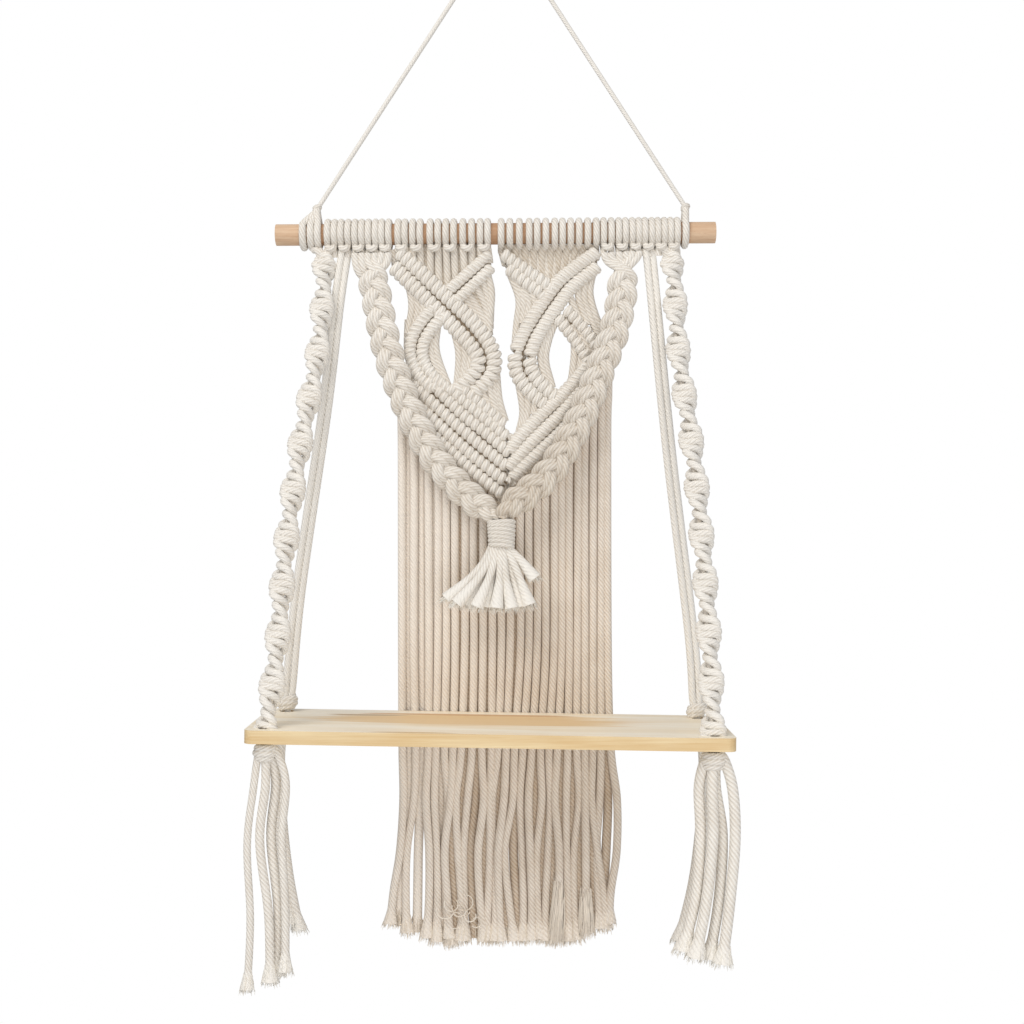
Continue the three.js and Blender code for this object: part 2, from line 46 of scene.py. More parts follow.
# Rope thicknesses, and the lays: the length in which the yarns go once round the rope
ROPE = 6.4
ROW_ROPE = 6.6
SEAM_ROPE = 5.5
TASSEL_ROPE = 6.2
CORD = 4.0
LAY = 27
WRAP_LAY = 34
CURTAIN_LAY = 24
CORD_LAY = 18
DOWEL_RADIUS = 9.5
BACK = Vector((0, 1, 0))

# Camera, as the photograph was taken: a 50 mm lens on a 36 mm sensor, level, in front of the panel
CAMERA = {"x": 8.9, "y": -1273, "z": -517, "lens": 50, "sensor": 36}


def add_camera():
    data = bpy.data.cameras.new("camera")
    data.lens = CAMERA["lens"]
    data.sensor_width = CAMERA["sensor"]
    camera = bpy.data.objects.new("camera", data)
    camera.location = (CAMERA["x"] * MM, CAMERA["y"] * MM, CAMERA["z"] * MM)
    camera.rotation_euler = (math.pi / 2, 0, 0)
    bpy.context.scene.collection.objects.link(camera)
    bpy.context.scene.camera = camera


add_camera()


# Colours and node helpers
def linear(hex_colour):
    """A hex sRGB colour as linear red, green, blue and alpha."""
    channels = [int(hex_colour[i : i + 2], 16) / 255 for i in (1, 3, 5)]
    turned = [c / 12.92 if c <= 0.04045 else ((c + 0.055) / 1.055) ** 2.4 for c in channels]
    return (*turned, 1)


def add_node(tree, kind, links=(), values=(), **settings):
    """Adds a node. links are (input, the node or socket it comes from) and values are (input, value).

    A node stands for its first output.
    """
    node = tree.nodes.new(kind)
    for name, value in settings.items():
        setattr(node, name, value)
    for name, value in values:
        node.inputs[name].default_value = value
    for name, source in links:
        socket = source.outputs[0] if isinstance(source, bpy.types.Node) else source
        tree.links.new(socket, node.inputs[name])
    return node


def set_stops(ramp, *stops):
    """Sets a colour ramp's two stops, each a position and a hex colour."""
    for element, (position, colour) in zip(ramp.color_ramp.elements, stops):
        element.position = position
        element.color = linear(colour)


def new_material(name):
    material = bpy.data.materials.new(name)
    material.use_nodes = True
    material.node_tree.nodes.clear()
    return material, material.node_tree


def finish_material(tree, shader):
    add_node(tree, "ShaderNodeOutputMaterial", links=[("Surface", shader)])


# Materials
def cotton_rope(name, crest, valley, groove_strength):
    """Twisted cotton of six round yarns: matte, pale on each yarn and warm where light is lost between.

    ply_across is the place round the rope, turns counts the twist, and along is the way along it.
    """
    material, tree = new_material(name)
    across = add_node(tree, "ShaderNodeAttribute", attribute_name="ply_across")
    along = add_node(tree, "ShaderNodeAttribute", attribute_name="along")
    turns = add_node(tree, "ShaderNodeAttribute", attribute_name="turns")
    shade = add_node(tree, "ShaderNodeAttribute", attribute_name="shade")
    coordinates = add_node(tree, "ShaderNodeTexCoord")
    # The yarns wind round the rope: six rounded crests with a groove after each
    parts = add_node(tree, "ShaderNodeSeparateXYZ", [("Vector", across.outputs["Vector"])])
    angle = add_node(
        tree, "ShaderNodeMath", [(0, parts.outputs["Y"]), (1, parts.outputs["X"])], operation="ARCTAN2"
    )
    around = add_node(
        tree, "ShaderNodeMath", [(0, turns.outputs["Fac"]), (2, angle)], [(1, 2 * math.pi)],
        operation="MULTIPLY_ADD",
    )
    uneven = add_node(
        tree, "ShaderNodeTexNoise", [("Vector", coordinates.outputs["Object"])],
        [("Scale", 120), ("Detail", 1)],
    )
    swayed = add_node(
        tree, "ShaderNodeMath", [(0, uneven.outputs["Fac"]), (2, around)], [(1, 0.5)],
        operation="MULTIPLY_ADD",
    )
    sixfold = add_node(tree, "ShaderNodeMath", [(0, swayed)], [(1, 6)], operation="MULTIPLY")
    wave = add_node(tree, "ShaderNodeMath", [(0, sixfold)], operation="COSINE")
    groove = add_node(
        tree, "ShaderNodeMapRange", [("Value", wave)],
        [("From Min", -1), ("From Max", 1), ("To Min", 1), ("To Max", 0)],
    )
    narrow = add_node(tree, "ShaderNodeMath", [(0, groove)], [(1, 1.6)], operation="POWER")
    # Thin fibre streaks that follow the yarns and are drawn out along the rope
    cosine = add_node(tree, "ShaderNodeMath", [(0, around)], operation="COSINE")
    sine = add_node(tree, "ShaderNodeMath", [(0, around)], operation="SINE")
    drawn = add_node(tree, "ShaderNodeMath", [(0, along.outputs["Fac"])], [(1, 38)], operation="MULTIPLY")
    place = add_node(tree, "ShaderNodeCombineXYZ", [("X", cosine), ("Y", sine), ("Z", drawn)])
    fibres = add_node(
        tree, "ShaderNodeTexNoise", [("Vector", place)], [("Scale", 6), ("Detail", 3), ("Roughness", 0.6)]
    )
    fuzz = add_node(
        tree, "ShaderNodeTexNoise", [("Vector", coordinates.outputs["Object"])],
        [("Scale", 900), ("Detail", 2), ("Roughness", 0.6)],
    )
    patches = add_node(
        tree, "ShaderNodeTexNoise", [("Vector", coordinates.outputs["Object"])],
        [("Scale", 45), ("Detail", 2)],
    )
    depth = add_node(tree, "ShaderNodeMath", [(0, narrow)], [(1, groove_strength)], operation="MULTIPLY")
    deeper = add_node(
        tree, "ShaderNodeMath", [(0, fibres.outputs["Fac"]), (2, depth)], [(1, 0.3)], operation="MULTIPLY_ADD"
    )
    shaded = add_node(tree, "ShaderNodeMath", [(0, deeper), (1, shade.outputs["Fac"])], operation="ADD")
    toned = add_node(
        tree, "ShaderNodeMath", [(0, patches.outputs["Fac"]), (2, shaded)], [(1, 0.3)],
        operation="MULTIPLY_ADD",
    )
    level = add_node(tree, "ShaderNodeMapRange", [("Value", toned)], [("From Min", 0.25), ("From Max", 1.15)])
    colour = add_node(
        tree, "ShaderNodeMix", [("Factor", level)], [(6, linear(crest)), (7, linear(valley))],
        data_type="RGBA", clamp_factor=True,
    )
    soft = add_node(
        tree, "ShaderNodeMath", [(0, fuzz.outputs["Fac"]), (2, fibres.outputs["Fac"])], [(1, 0.5)],
        operation="MULTIPLY_ADD",
    )
    relief = add_node(tree, "ShaderNodeMath", [(0, narrow), (2, soft)], [(1, -1.5)], operation="MULTIPLY_ADD")
    bump = add_node(tree, "ShaderNodeBump", [("Height", relief)], [("Strength", 0.6), ("Distance", 0.0006)])
    shader = add_node(
        tree, "ShaderNodeBsdfPrincipled", [("Base Color", colour.outputs[2]), ("Normal", bump)],
        [("Roughness", 0.92), ("IOR", 1.5), ("Specular IOR Level", 0.25), ("Sheen Weight", 0.2),
         ("Sheen Roughness", 0.5)],
    )
    finish_material(tree, shader)
    return material


# Painted shade of the ropes on the dowel's middle: how far from the middle the dowel starts to pale, past the
# last ropes, and where it is as pale as its ends
ROPE_SHADE_SPAN = (165, 169)


def beech_dowel():
    """Sanded beech: fine pores and short flecks along the rod, pinkish tan, with painted shade that makes it
    browner between the ropes.
    """
    material, tree = new_material("beech_sanded")
    coordinates = add_node(tree, "ShaderNodeTexCoord")
    grain_map = add_node(
        tree, "ShaderNodeMapping", [("Vector", coordinates.outputs["Object"])], [("Scale", (28, 420, 420))]
    )
    grain = add_node(
        tree, "ShaderNodeTexNoise", [("Vector", grain_map)], [("Scale", 1), ("Detail", 5), ("Roughness", 0.6)]
    )
    fleck_map = add_node(
        tree, "ShaderNodeMapping", [("Vector", coordinates.outputs["Object"])], [("Scale", (260, 1900, 1900))]
    )
    flecks = add_node(tree, "ShaderNodeTexNoise", [("Vector", fleck_map)], [("Scale", 1), ("Detail", 2)])
    ramp = add_node(tree, "ShaderNodeValToRGB", [("Fac", grain.outputs["Fac"])])
    set_stops(ramp, (0.3, "#CBA685"), (0.72, "#DFC2A3"))
    dots = add_node(
        tree, "ShaderNodeMapRange", [("Value", flecks.outputs["Fac"])],
        [("From Min", 0.62), ("From Max", 0.74), ("To Max", 0.5)],
    )
    colour = add_node(
        tree, "ShaderNodeMix", [("Factor", dots), (6, ramp)], [(7, linear("#BD8F68"))], data_type="RGBA"
    )
    # Painted shade: between the ropes the wood is mixed towards a darker brown
    place = add_node(tree, "ShaderNodeSeparateXYZ", [("Vector", coordinates.outputs["Object"])])
    across = add_node(tree, "ShaderNodeMath", [(0, place.outputs["X"])], operation="ABSOLUTE")
    rope_shade = add_node(
        tree, "ShaderNodeMapRange", [("Value", across)],
        [("From Min", ROPE_SHADE_SPAN[0] * MM), ("From Max", ROPE_SHADE_SPAN[1] * MM), ("To Min", 0.55), ("To Max", 0)],
    )
    shaded_wood = add_node(
        tree, "ShaderNodeMix", [("Factor", rope_shade), (6, colour.outputs[2])],
        [(7, linear("#9C6B45"))], data_type="RGBA",
    )
    bump = add_node(
        tree, "ShaderNodeBump", [("Height", flecks.outputs["Fac"])], [("Strength", 0.2), ("Distance", 0.0002)]
    )
    shader = add_node(
        tree, "ShaderNodeBsdfPrincipled", [("Base Color", shaded_wood.outputs[2]), ("Normal", bump)],
        [("Roughness", 0.58), ("IOR", 1.5)],
    )
    finish_material(tree, shader)
    return material


# Streaks in the board: a broad honey one along its top with darker rear edges, and one on its front edge
STREAKS = [
    {"centre": (-20, -44, -697), "half": (148, 38, 60), "colour": "#E8C287"},
    {"centre": (-28, -15, -697), "half": (105, 6, 60), "colour": "#CF9E6A"},
    {"centre": (-118, -24, -697), "half": (42, 5, 60), "colour": "#BFA077"},
    {"centre": (-72, -119, -697), "half": (44, 3, 3.4), "colour": "#CDA562"},
]


def pine_board():
    """Planed pine: long pale growth bands, broad tan streaks and fine grain lines, satin."""
    material, tree = new_material("pine_planed")
    coordinates = add_node(tree, "ShaderNodeTexCoord")
    place = coordinates.outputs["Object"]
    warp_map = add_node(tree, "ShaderNodeMapping", [("Vector", place)], [("Scale", (4.5, 22, 22))])
    warp = add_node(tree, "ShaderNodeTexNoise", [("Vector", warp_map)], [("Scale", 1), ("Detail", 3)])
    parts = add_node(tree, "ShaderNodeSeparateXYZ", [("Vector", place)])
    # Growth bands about 45 mm apart across the board, bent by the slow noise
    across = add_node(tree, "ShaderNodeMath", [(0, parts.outputs["Y"])], [(1, 140)], operation="MULTIPLY")
    bent = add_node(
        tree, "ShaderNodeMath", [(0, warp.outputs["Fac"]), (2, across)], [(1, 14)], operation="MULTIPLY_ADD"
    )
    upright = add_node(
        tree, "ShaderNodeMath", [(0, parts.outputs["Z"]), (2, bent)], [(1, 190)], operation="MULTIPLY_ADD"
    )
    bands = add_node(tree, "ShaderNodeMath", [(0, upright)], operation="SINE")
    fine_map = add_node(tree, "ShaderNodeMapping", [("Vector", place)], [("Scale", (14, 520, 520))])
    fine = add_node(
        tree, "ShaderNodeTexNoise", [("Vector", fine_map)], [("Scale", 1), ("Detail", 6), ("Roughness", 0.65)]
    )
    mixed = add_node(
        tree, "ShaderNodeMath", [(0, bands), (2, fine.outputs["Fac"])], [(1, 0.16)], operation="MULTIPLY_ADD"
    )
    ramp = add_node(tree, "ShaderNodeValToRGB", [("Fac", mixed)])
    set_stops(ramp, (0.25, "#FFF7E6"), (0.8, "#F6E6C9"))
    # The sawn front and end edges are yellower than the planed top
    geometry = add_node(tree, "ShaderNodeNewGeometry")
    facing = add_node(tree, "ShaderNodeSeparateXYZ", [("Vector", geometry.outputs["Normal"])])
    flat = add_node(tree, "ShaderNodeMath", [(0, facing.outputs["Z"])], operation="ABSOLUTE")
    side = add_node(
        tree, "ShaderNodeMapRange", [("Value", flat)],
        [("From Min", 0.35), ("From Max", 0.8), ("To Min", 0.85), ("To Max", 0.0)],
    )
    sawn = add_node(tree, "ShaderNodeValToRGB", [("Fac", mixed)])
    set_stops(sawn, (0.3, "#E8D09F"), (0.75, "#D4B075"))
    board = add_node(tree, "ShaderNodeMix", [("Factor", side), (6, ramp), (7, sawn)], data_type="RGBA")
    # Streaks, ragged at their edges and faded at their ends
    grain_map = add_node(tree, "ShaderNodeMapping", [("Vector", place)], [("Scale", (7, 240, 240))])
    ragged = add_node(tree, "ShaderNodeTexNoise", [("Vector", grain_map)], [("Detail", 4), ("Scale", 1)])
    for streak in STREAKS:
        x, y, z = (MM * part for part in streak["centre"])
        long, wide, tall = (MM * part for part in streak["half"])
        reach_map = add_node(
            tree, "ShaderNodeMapping", [("Vector", place)],
            [("Location", (-x / long, -y / wide, -z / tall)), ("Scale", (1 / long, 1 / wide, 1 / tall))],
        )
        reach = add_node(tree, "ShaderNodeVectorMath", [(0, reach_map)], operation="LENGTH")
        edge = add_node(
            tree, "ShaderNodeMath", [(0, ragged.outputs["Fac"]), (2, reach.outputs["Value"])], [(1, 1.2)],
            operation="MULTIPLY_ADD",
        )
        mask = add_node(
            tree, "ShaderNodeMapRange", [("Value", edge)],
            [("From Min", 1.35), ("From Max", 1.6), ("To Min", 0.8), ("To Max", 0.0)],
        )
        board = add_node(
            tree, "ShaderNodeMix", [("Factor", mask), (6, board.outputs[2])],
            [(7, linear(streak["colour"]))], data_type="RGBA",
        )
    bump = add_node(
        tree, "ShaderNodeBump", [("Height", fine.outputs["Fac"])], [("Strength", 0.15), ("Distance", 0.0002)]
    )
    shader = add_node(
        tree, "ShaderNodeBsdfPrincipled", [("Base Color", board.outputs[2]), ("Normal", bump)],
        [("Roughness", 0.5), ("IOR", 1.5)],
    )
    finish_material(tree, shader)
    return material


COTTON = cotton_rope("cotton_twisted", "#F6F2EB", "#BBA88E", 0.26)
# Painted shade: a warmer shaded copy of the cotton for the curtain, which hangs behind the panel and the
# board
COTTON_SHADED = cotton_rope("cotton_twisted_shaded", "#F6EDE2", "#BAA183", 0.3)
# Painted shade: a dark copy of the cotton for the ropes deep in the seams between the rows
COTTON_SEAM_SHADE = cotton_rope("cotton_in_the_seams", "#9C8B76", "#6B5B49", 0.4)
# Painted shade: a warmer shaded copy of the brushed cotton, for the curtain's frayed ends
COTTON_SHADED_BRUSHED = cotton_rope("cotton_brushed_shaded", "#FAF0E2", "#DCCBB2", 0.2)
COTTON_BRUSHED = cotton_rope("cotton_brushed_end", "#FBF8F1", "#E2D6C4", 0.2)


# Geometry Nodes: one tree makes a rope of each line of a mesh, and one a thin fibre
ROPE_SIDES = 10
FIBRE_SIDES = 3
FIBRE = 0.8


def interface(tree, name, kind, default=None, low=None):
    socket = tree.interface.new_socket(name=name, in_out="INPUT", socket_type=kind)
    if default is not None:
        socket.default_value = default
    if low is not None:
        socket.min_value = low


def stored(tree, geometry, name, kind, value):
    """The geometry with a named value of each point written on it."""
    node = add_node(
        tree, "GeometryNodeStoreNamedAttribute", [("Geometry", geometry), ("Value", value)], [("Name", name)],
        data_type=kind,
    )
    return node.outputs[0]


def new_tree(name, diameter):
    """A tree that takes lines, a diameter and a material, and gives a mesh."""
    tree = bpy.data.node_groups.new(name, "GeometryNodeTree")
    interface(tree, "Lines", "NodeSocketGeometry")
    interface(tree, "Diameter", "NodeSocketFloat", diameter, 0)
    interface(tree, "Material", "NodeSocketMaterial")
    tree.interface.new_socket(name="Made", in_out="OUTPUT", socket_type="NodeSocketGeometry")
    return tree


def skin(tree, given, curve, section):
    """Sweeps the section along the curve, as wide as each point's size says, and gives it the material."""
    size = add_node(tree, "GeometryNodeInputNamedAttribute", values=[("Name", "size")], data_type="FLOAT")
    half = add_node(tree, "ShaderNodeMath", [(0, given["Diameter"])], [(1, 0.5)], operation="MULTIPLY")
    radius = add_node(
        tree, "ShaderNodeMath", [(0, size.outputs["Attribute"]), (1, half)], operation="MULTIPLY"
    )
    swept = add_node(
        tree, "GeometryNodeCurveToMesh",
        [("Curve", curve), ("Profile Curve", section), ("Scale", radius)], [("Fill Caps", True)],
    )
    smooth = add_node(tree, "GeometryNodeSetShadeSmooth", [("Geometry", swept)])
    real = add_node(tree, "GeometryNodeRealizeInstances", [("Geometry", smooth)])
    painted = add_node(tree, "GeometryNodeSetMaterial", [("Geometry", real), ("Material", given["Material"])])
    add_node(tree, "NodeGroupOutput", [("Made", painted)])


def laid_rope_tree():
    """A round rope along each line. It stores the way along, the turns of the twist and the place around."""
    tree = new_tree("laid_rope", 0.006)
    interface(tree, "Lay", "NodeSocketFloat", 0.01, 0)
    interface(tree, "Step", "NodeSocketFloat", 0.002, 0.0001)
    given = add_node(tree, "NodeGroupInput").outputs
    lines = add_node(tree, "GeometryNodeMeshToCurve", [("Mesh", given["Lines"])])
    even = add_node(
        tree, "GeometryNodeResampleCurve", [("Curve", lines), ("Length", given["Step"])], mode="LENGTH"
    )
    way = add_node(tree, "GeometryNodeSplineParameter")
    phase = add_node(tree, "GeometryNodeInputNamedAttribute", values=[("Name", "phase")], data_type="FLOAT")
    twist = add_node(
        tree, "ShaderNodeMath", [(0, way.outputs["Length"]), (1, given["Lay"])], operation="DIVIDE"
    )
    turns = add_node(tree, "ShaderNodeMath", [(0, twist), (1, phase.outputs["Attribute"])], operation="ADD")
    marked = stored(tree, even.outputs[0], "along", "FLOAT", way.outputs["Length"])
    wound = stored(tree, marked, "turns", "FLOAT", turns.outputs[0])
    circle = add_node(
        tree, "GeometryNodeCurvePrimitiveCircle", values=[("Resolution", ROPE_SIDES), ("Radius", 1.0)]
    )
    position = add_node(tree, "GeometryNodeInputPosition")
    section = stored(tree, circle.outputs["Curve"], "ply_across", "FLOAT_VECTOR", position.outputs[0])
    skin(tree, given, wound, section)
    return tree


def loose_fibre_tree():
    """A thin fibre along each line, for the frayed ends."""
    tree = new_tree("loose_fibres", 0.0006)
    given = add_node(tree, "NodeGroupInput").outputs
    lines = add_node(tree, "GeometryNodeMeshToCurve", [("Mesh", given["Lines"])])
    section = add_node(
        tree, "GeometryNodeCurvePrimitiveCircle", values=[("Resolution", FIBRE_SIDES), ("Radius", 1.0)]
    )
    skin(tree, given, lines.outputs[0], section.outputs["Curve"])
    return tree


ROPE_TREE = laid_rope_tree()
FIBRE_TREE = loose_fibre_tree()


# Lines that the ropes follow. A line is a dict of points, and of the size and shade at each point.
def smooth_points(points, step=2.0):
    """Points on a smooth curve through the given ones, about a step apart."""
    knots = [Vector(p) for p in points]
    ends = [2 * knots[0] - knots[1], *knots, 2 * knots[-1] - knots[-2]]
    found = []
    for a, b, c, d in zip(ends, ends[1:], ends[2:], ends[3:]):
        count = max(1, round((c - b).length / step))
        for i in range(count):
            t = i / count
            square, cube = 2 * a - 5 * b + 4 * c - d, 3 * b - a - 3 * c + d
            found.append(0.5 * (2 * b + (c - a) * t + square * t**2 + cube * t**3))
    return [*found, knots[-1]]


def line(points, size=1.0, shade=0.0):
    """A rope line. size and shade are numbers, or functions of the share of the way along."""
    last = max(1, len(points) - 1)
    sizes = [size(i / last) if callable(size) else size for i in range(len(points))]
    shades = [shade(i / last) if callable(shade) else shade for i in range(len(points))]
    return {"points": points, "size": sizes, "shade": shades}


def lines_mesh(name, lines, seed):
    """The lines as a mesh of edges, with the size, shade and twist of each point."""
    chance = random.Random(seed)
    mesh = bpy.data.meshes.new(name)
    points, edges, sizes, shades, phases = [], [], [], [], []
    for rope in lines:
        first = len(points)
        points.extend(Vector(p) * MM for p in rope["points"])
        edges.extend((i, i + 1) for i in range(first, len(points) - 1))
        sizes.extend(rope["size"])
        shades.extend(rope["shade"])
        phases.extend([chance.random()] * len(rope["points"]))
    mesh.from_pydata(points, edges, [])
    for attribute, values in (("size", sizes), ("shade", shades), ("phase", phases)):
        mesh.attributes.new(attribute, "FLOAT", "POINT").data.foreach_set("value", values)
    return mesh


def grown(name, lines, seed, tree, given):
    """The mesh that a Geometry Nodes tree makes of lines, with its named inputs set."""
    holder = bpy.data.objects.new(name, lines_mesh(name, lines, seed))
    bpy.context.scene.collection.objects.link(holder)
    modifier = holder.modifiers.new(tree.name, "NODES")
    modifier.node_group = tree
    for item in tree.interface.items_tree:
        if item.item_type == "SOCKET" and item.name in given:
            modifier[item.identifier] = given[item.name]
    depsgraph = bpy.context.evaluated_depsgraph_get()
    mesh = bpy.data.meshes.new_from_object(holder.evaluated_get(depsgraph), depsgraph=depsgraph)
    bpy.data.objects.remove(holder)
    return mesh


def make_ropes(name, lines, material=COTTON, diameter=ROPE, lay=LAY, step=2.2):
    given = {"Diameter": diameter * MM, "Lay": lay * MM, "Step": step * MM, "Material": material}
    return grown(name, lines, 1, ROPE_TREE, given)


def make_brushes(name, lines, material=COTTON_BRUSHED):
    return grown(name, lines, 3, FIBRE_TREE, {"Diameter": FIBRE * MM, "Material": material})


def add_piece(name, meshes, node):
    """Joins meshes into one object that rides on the shelf and stands for a CAD node."""
    first, *others = [bpy.data.objects.new(name, mesh) for mesh in meshes]
    scene = bpy.context.scene
    for piece in (first, *others):
        scene.collection.objects.link(piece)
    if others:
        with bpy.context.temp_override(
            active_object=first, object=first, selected_objects=[first, *others],
            selected_editable_objects=[first, *others],
        ):
            bpy.ops.object.join()
    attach(first, "root")
    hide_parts(node)
    return first


# Dowel and lark's heads. The ropes left of the parting hang in front of the dowel's middle, the others
# behind it. The tie's turns take the place of the tied head.
DOWEL = {"left": (-202, -269.2), "right": (190.6, -266.9)}
HEAD_RADIUS = DOWEL_RADIUS + 1.7
HEAD_DROP_Y = 4.4
HEAD_SIZE = 0.94
BIGHT_Y = 9.4
PANEL_PARTING = -5
TIED_HEAD_X = -165.5


def dowel_z(x):
    (x0, z0), (x1, z1) = DOWEL["left"], DOWEL["right"]
    return z0 + (x - x0) / (x1 - x0) * (z1 - z0)


# Lark's heads along the dowel: the middle, half the space between the two ropes, and what they run on into
HEADS = [
    {"x": -165.5, "half": 3.0, "into": "sinnet_left"},
    {"x": -152.4, "half": 3.0, "into": "sinnet_left"},
    {"x": -140.4, "half": 3.1, "into": "rear_rope_left"},
    {"x": -128.1, "half": 3.0, "into": "plaits"},
    {"x": -116.0, "half": 3.1, "into": "plaits"},
    {"x": -104.2, "half": 3.1, "into": "plaits"},
    {"x": -89.6, "half": 3.0, "into": "panel_left"},
    {"x": -76.4, "half": 3.3, "into": "panel_left"},
    {"x": -60.6, "half": 3.5, "into": "panel_left"},
    {"x": -46.6, "half": 3.5, "into": "panel_left"},
    {"x": -31.0, "half": 3.9, "into": "panel_left"},
    {"x": -16.2, "half": 3.3, "into": "panel_left"},
    {"x": 3.1, "half": 3.9, "into": "panel_right"},
    {"x": 19.8, "half": 4.4, "into": "panel_right"},
    {"x": 35.1, "half": 3.9, "into": "panel_right"},
    {"x": 50.5, "half": 3.4, "into": "panel_right"},
    {"x": 64.9, "half": 3.7, "into": "panel_right"},
    {"x": 80.2, "half": 3.8, "into": "panel_right"},
    {"x": 94.0, "half": 3.4, "into": "plaits"},
    {"x": 107.0, "half": 3.0, "into": "plaits"},
    {"x": 119.0, "half": 2.9, "into": "plaits"},
    {"x": 130.4, "half": 3.0, "into": "rear_rope_right"},
    {"x": 141.8, "half": 2.9, "into": "sinnet_right"},
    {"x": 153.2, "half": 2.9, "into": "sinnet_right"},
]


def head_line(head):
    """One rope folded round the dowel: down, round, across its own front (or back) and round again."""
    x, half = head["x"], head["half"]
    front = head["into"] != "panel_right"
    facing = -1 if front else 1
    z = dowel_z(x)
    drops = (14, 16.5) if head["into"].startswith("panel") else (16.5, 21)

    def side(hand):
        angles = [math.radians(degrees) for degrees in (-62, -20, 20, 60, 95, 130, 165, 200, 232)]
        round_it = [(facing * HEAD_RADIUS * math.cos(a), z + HEAD_RADIUS * math.sin(a)) for a in angles]
        drop = [(facing * HEAD_DROP_Y, z - fall) for fall in drops]
        return [(x + hand * half, *place) for place in (*round_it, *drop)]

    low = z - (14.2 if front else 11.5)
    bight = [(x + hand * 0.55 * half, facing * BIGHT_Y, low) for hand in (-1, 1)]
    return line(smooth_points([*reversed(side(-1)), *bight, *side(1)], 1.5), HEAD_SIZE)


def head_lines(piece):
    return [head_line(head) for head in HEADS if head["into"] == piece and head["x"] != TIED_HEAD_X]


# Panel: coils of rope over a holding rope. Each band is rows that lie against each other. pitch is the
# space between two turns and wide is half the width of a coil, to the middle of its rope.
ROW_Y = -5.6
COIL_DEPTH = 2.6
# Ropes that close the seams: how far behind the rows' middle, how thick, and how far apart the rows may be.
# The inner ones are dark cotton: painted shade in the seams.
INNER_SHADE_SEAM = {"depth": 2.2, "size": 0.8}
BACK_SEAM = {"depth": 5.2, "size": 0.95}
SEAM_REACH = 16
SMOOTH_PITCH = 4.8
HITCH_PITCH = 6.2
BANDS = [
    {"pitch": HITCH_PITCH, "wide": 4.2, "rows": [
        [(-91, -286), (-54.7, -320), (-25.6, -348), (-8.6, -373), (-8.8, -394), (-25, -411)],
        [(-96, -299), (-63.3, -331.5), (-36.5, -359), (-21.5, -379), (-24.7, -393), (-40, -409)],
    ]},
    {"pitch": SMOOTH_PITCH, "wide": 2.3, "rows": [
        [(-12.2, -287.5), (-48.5, -320.5)],
        [(-10.4, -300), (-40.5, -328.5)],
    ]},
    {"pitch": SMOOTH_PITCH, "wide": 2.7, "rows": [
        [(-62, -335), (-74, -350), (-81.5, -366), (-80.5, -382), (-72, -398), (-60, -409)],
        [(-51.5, -341), (-62, -353), (-70, -367), (-70, -382), (-62, -395), (-47, -409)],
    ]},
    {"pitch": HITCH_PITCH, "wide": 2.75, "rows": [
        [(-34, -408), (-18, -421), (2, -440)],
        [(-46, -407), (-29, -422), (-12, -436), (6, -452)],
        [(-66, -400), (-58, -407), (-35, -430), (-16, -445), (6, -464)],
        [(-79, -404), (-66, -416), (-44, -436), (-22, -455), (6, -478)],
        [(-81, -417), (-62, -434), (-44, -451), (-22, -470), (5, -491)],
        [(-78, -433), (-62, -448), (-44, -464), (-24, -482), (0, -501)],
    ]},
    {"pitch": SMOOTH_PITCH, "wide": 3.3, "rows": [
        [(83.5, -286), (66, -298.5), (50.6, -311), (39, -326), (27.9, -342.5), (18.5, -359), (11.5, -375)],
        [(84, -299), (70, -310), (60.3, -319), (49, -334), (38.6, -349), (30, -364), (24.2, -379)],
    ]},
    {"pitch": HITCH_PITCH, "wide": 3.8, "rows": [
        [(11.5, -378), (12.5, -392), (22, -407), (37, -421)],
        [(24.5, -382), (28, -394), (38, -406), (48, -415)],
    ]},
    {"pitch": HITCH_PITCH, "wide": 3.1, "rows": [
        [(1.8, -288), (20, -301), (38, -313), (46, -319)],
        [(6.2, -300.5), (22, -313), (34, -322), (38, -327)],
    ]},
    {"pitch": HITCH_PITCH, "wide": 2.8, "rows": [
        [(58, -337), (68, -348), (80, -363), (88, -375)],
        [(50, -345), (60, -357), (70, -371), (78, -386)],
    ]},
    {"pitch": SMOOTH_PITCH, "wide": 3.1, "rows": [
        [(76, -386), (72, -392), (57, -409), (41, -424), (25, -440), (13, -453), (7, -462)],
        [(74, -406), (66, -414), (52, -430), (38, -443), (24, -457), (12, -470), (6, -477)],
        [(66, -430), (50, -448), (36, -461), (22, -474), (8, -488)],
    ]},
]


def along_path(points, step):
    """Places a step apart on a path, each with the direction there."""
    found, left = [], 0.0
    for a, b in zip(points, points[1:]):
        length = (b - a).length
        direction = (b - a) / length
        while left <= length:
            found.append((a + left * direction, direction))
            left += step
        left -= length
    return found


def coil_line(path, pitch, wide, steps=12):
    """Turns of rope round a holding rope, flat on the front. They cross it squarely and step on behind."""
    points = []
    for i, (place, direction) in enumerate(along_path(path, pitch / steps)):
        angle = 2 * math.pi * i / steps
        across, out = math.cos(angle), math.sin(angle)
        across = math.copysign(abs(across) ** 0.7, across)
        side = direction.cross(BACK).normalized()
        lag = 0.85 * pitch / (2 * math.pi) * across
        points.append(place + lag * direction + wide * across * side - COIL_DEPTH * out * BACK)
    return line(points)


def row_path(row, y=ROW_Y, step=1.0):
    return smooth_points([(x, y, z) for x, z in row], step)


def panel_row_lines():
    return [
        coil_line(row_path(row), band["pitch"], band["wide"]) for band in BANDS for row in band["rows"]
    ]


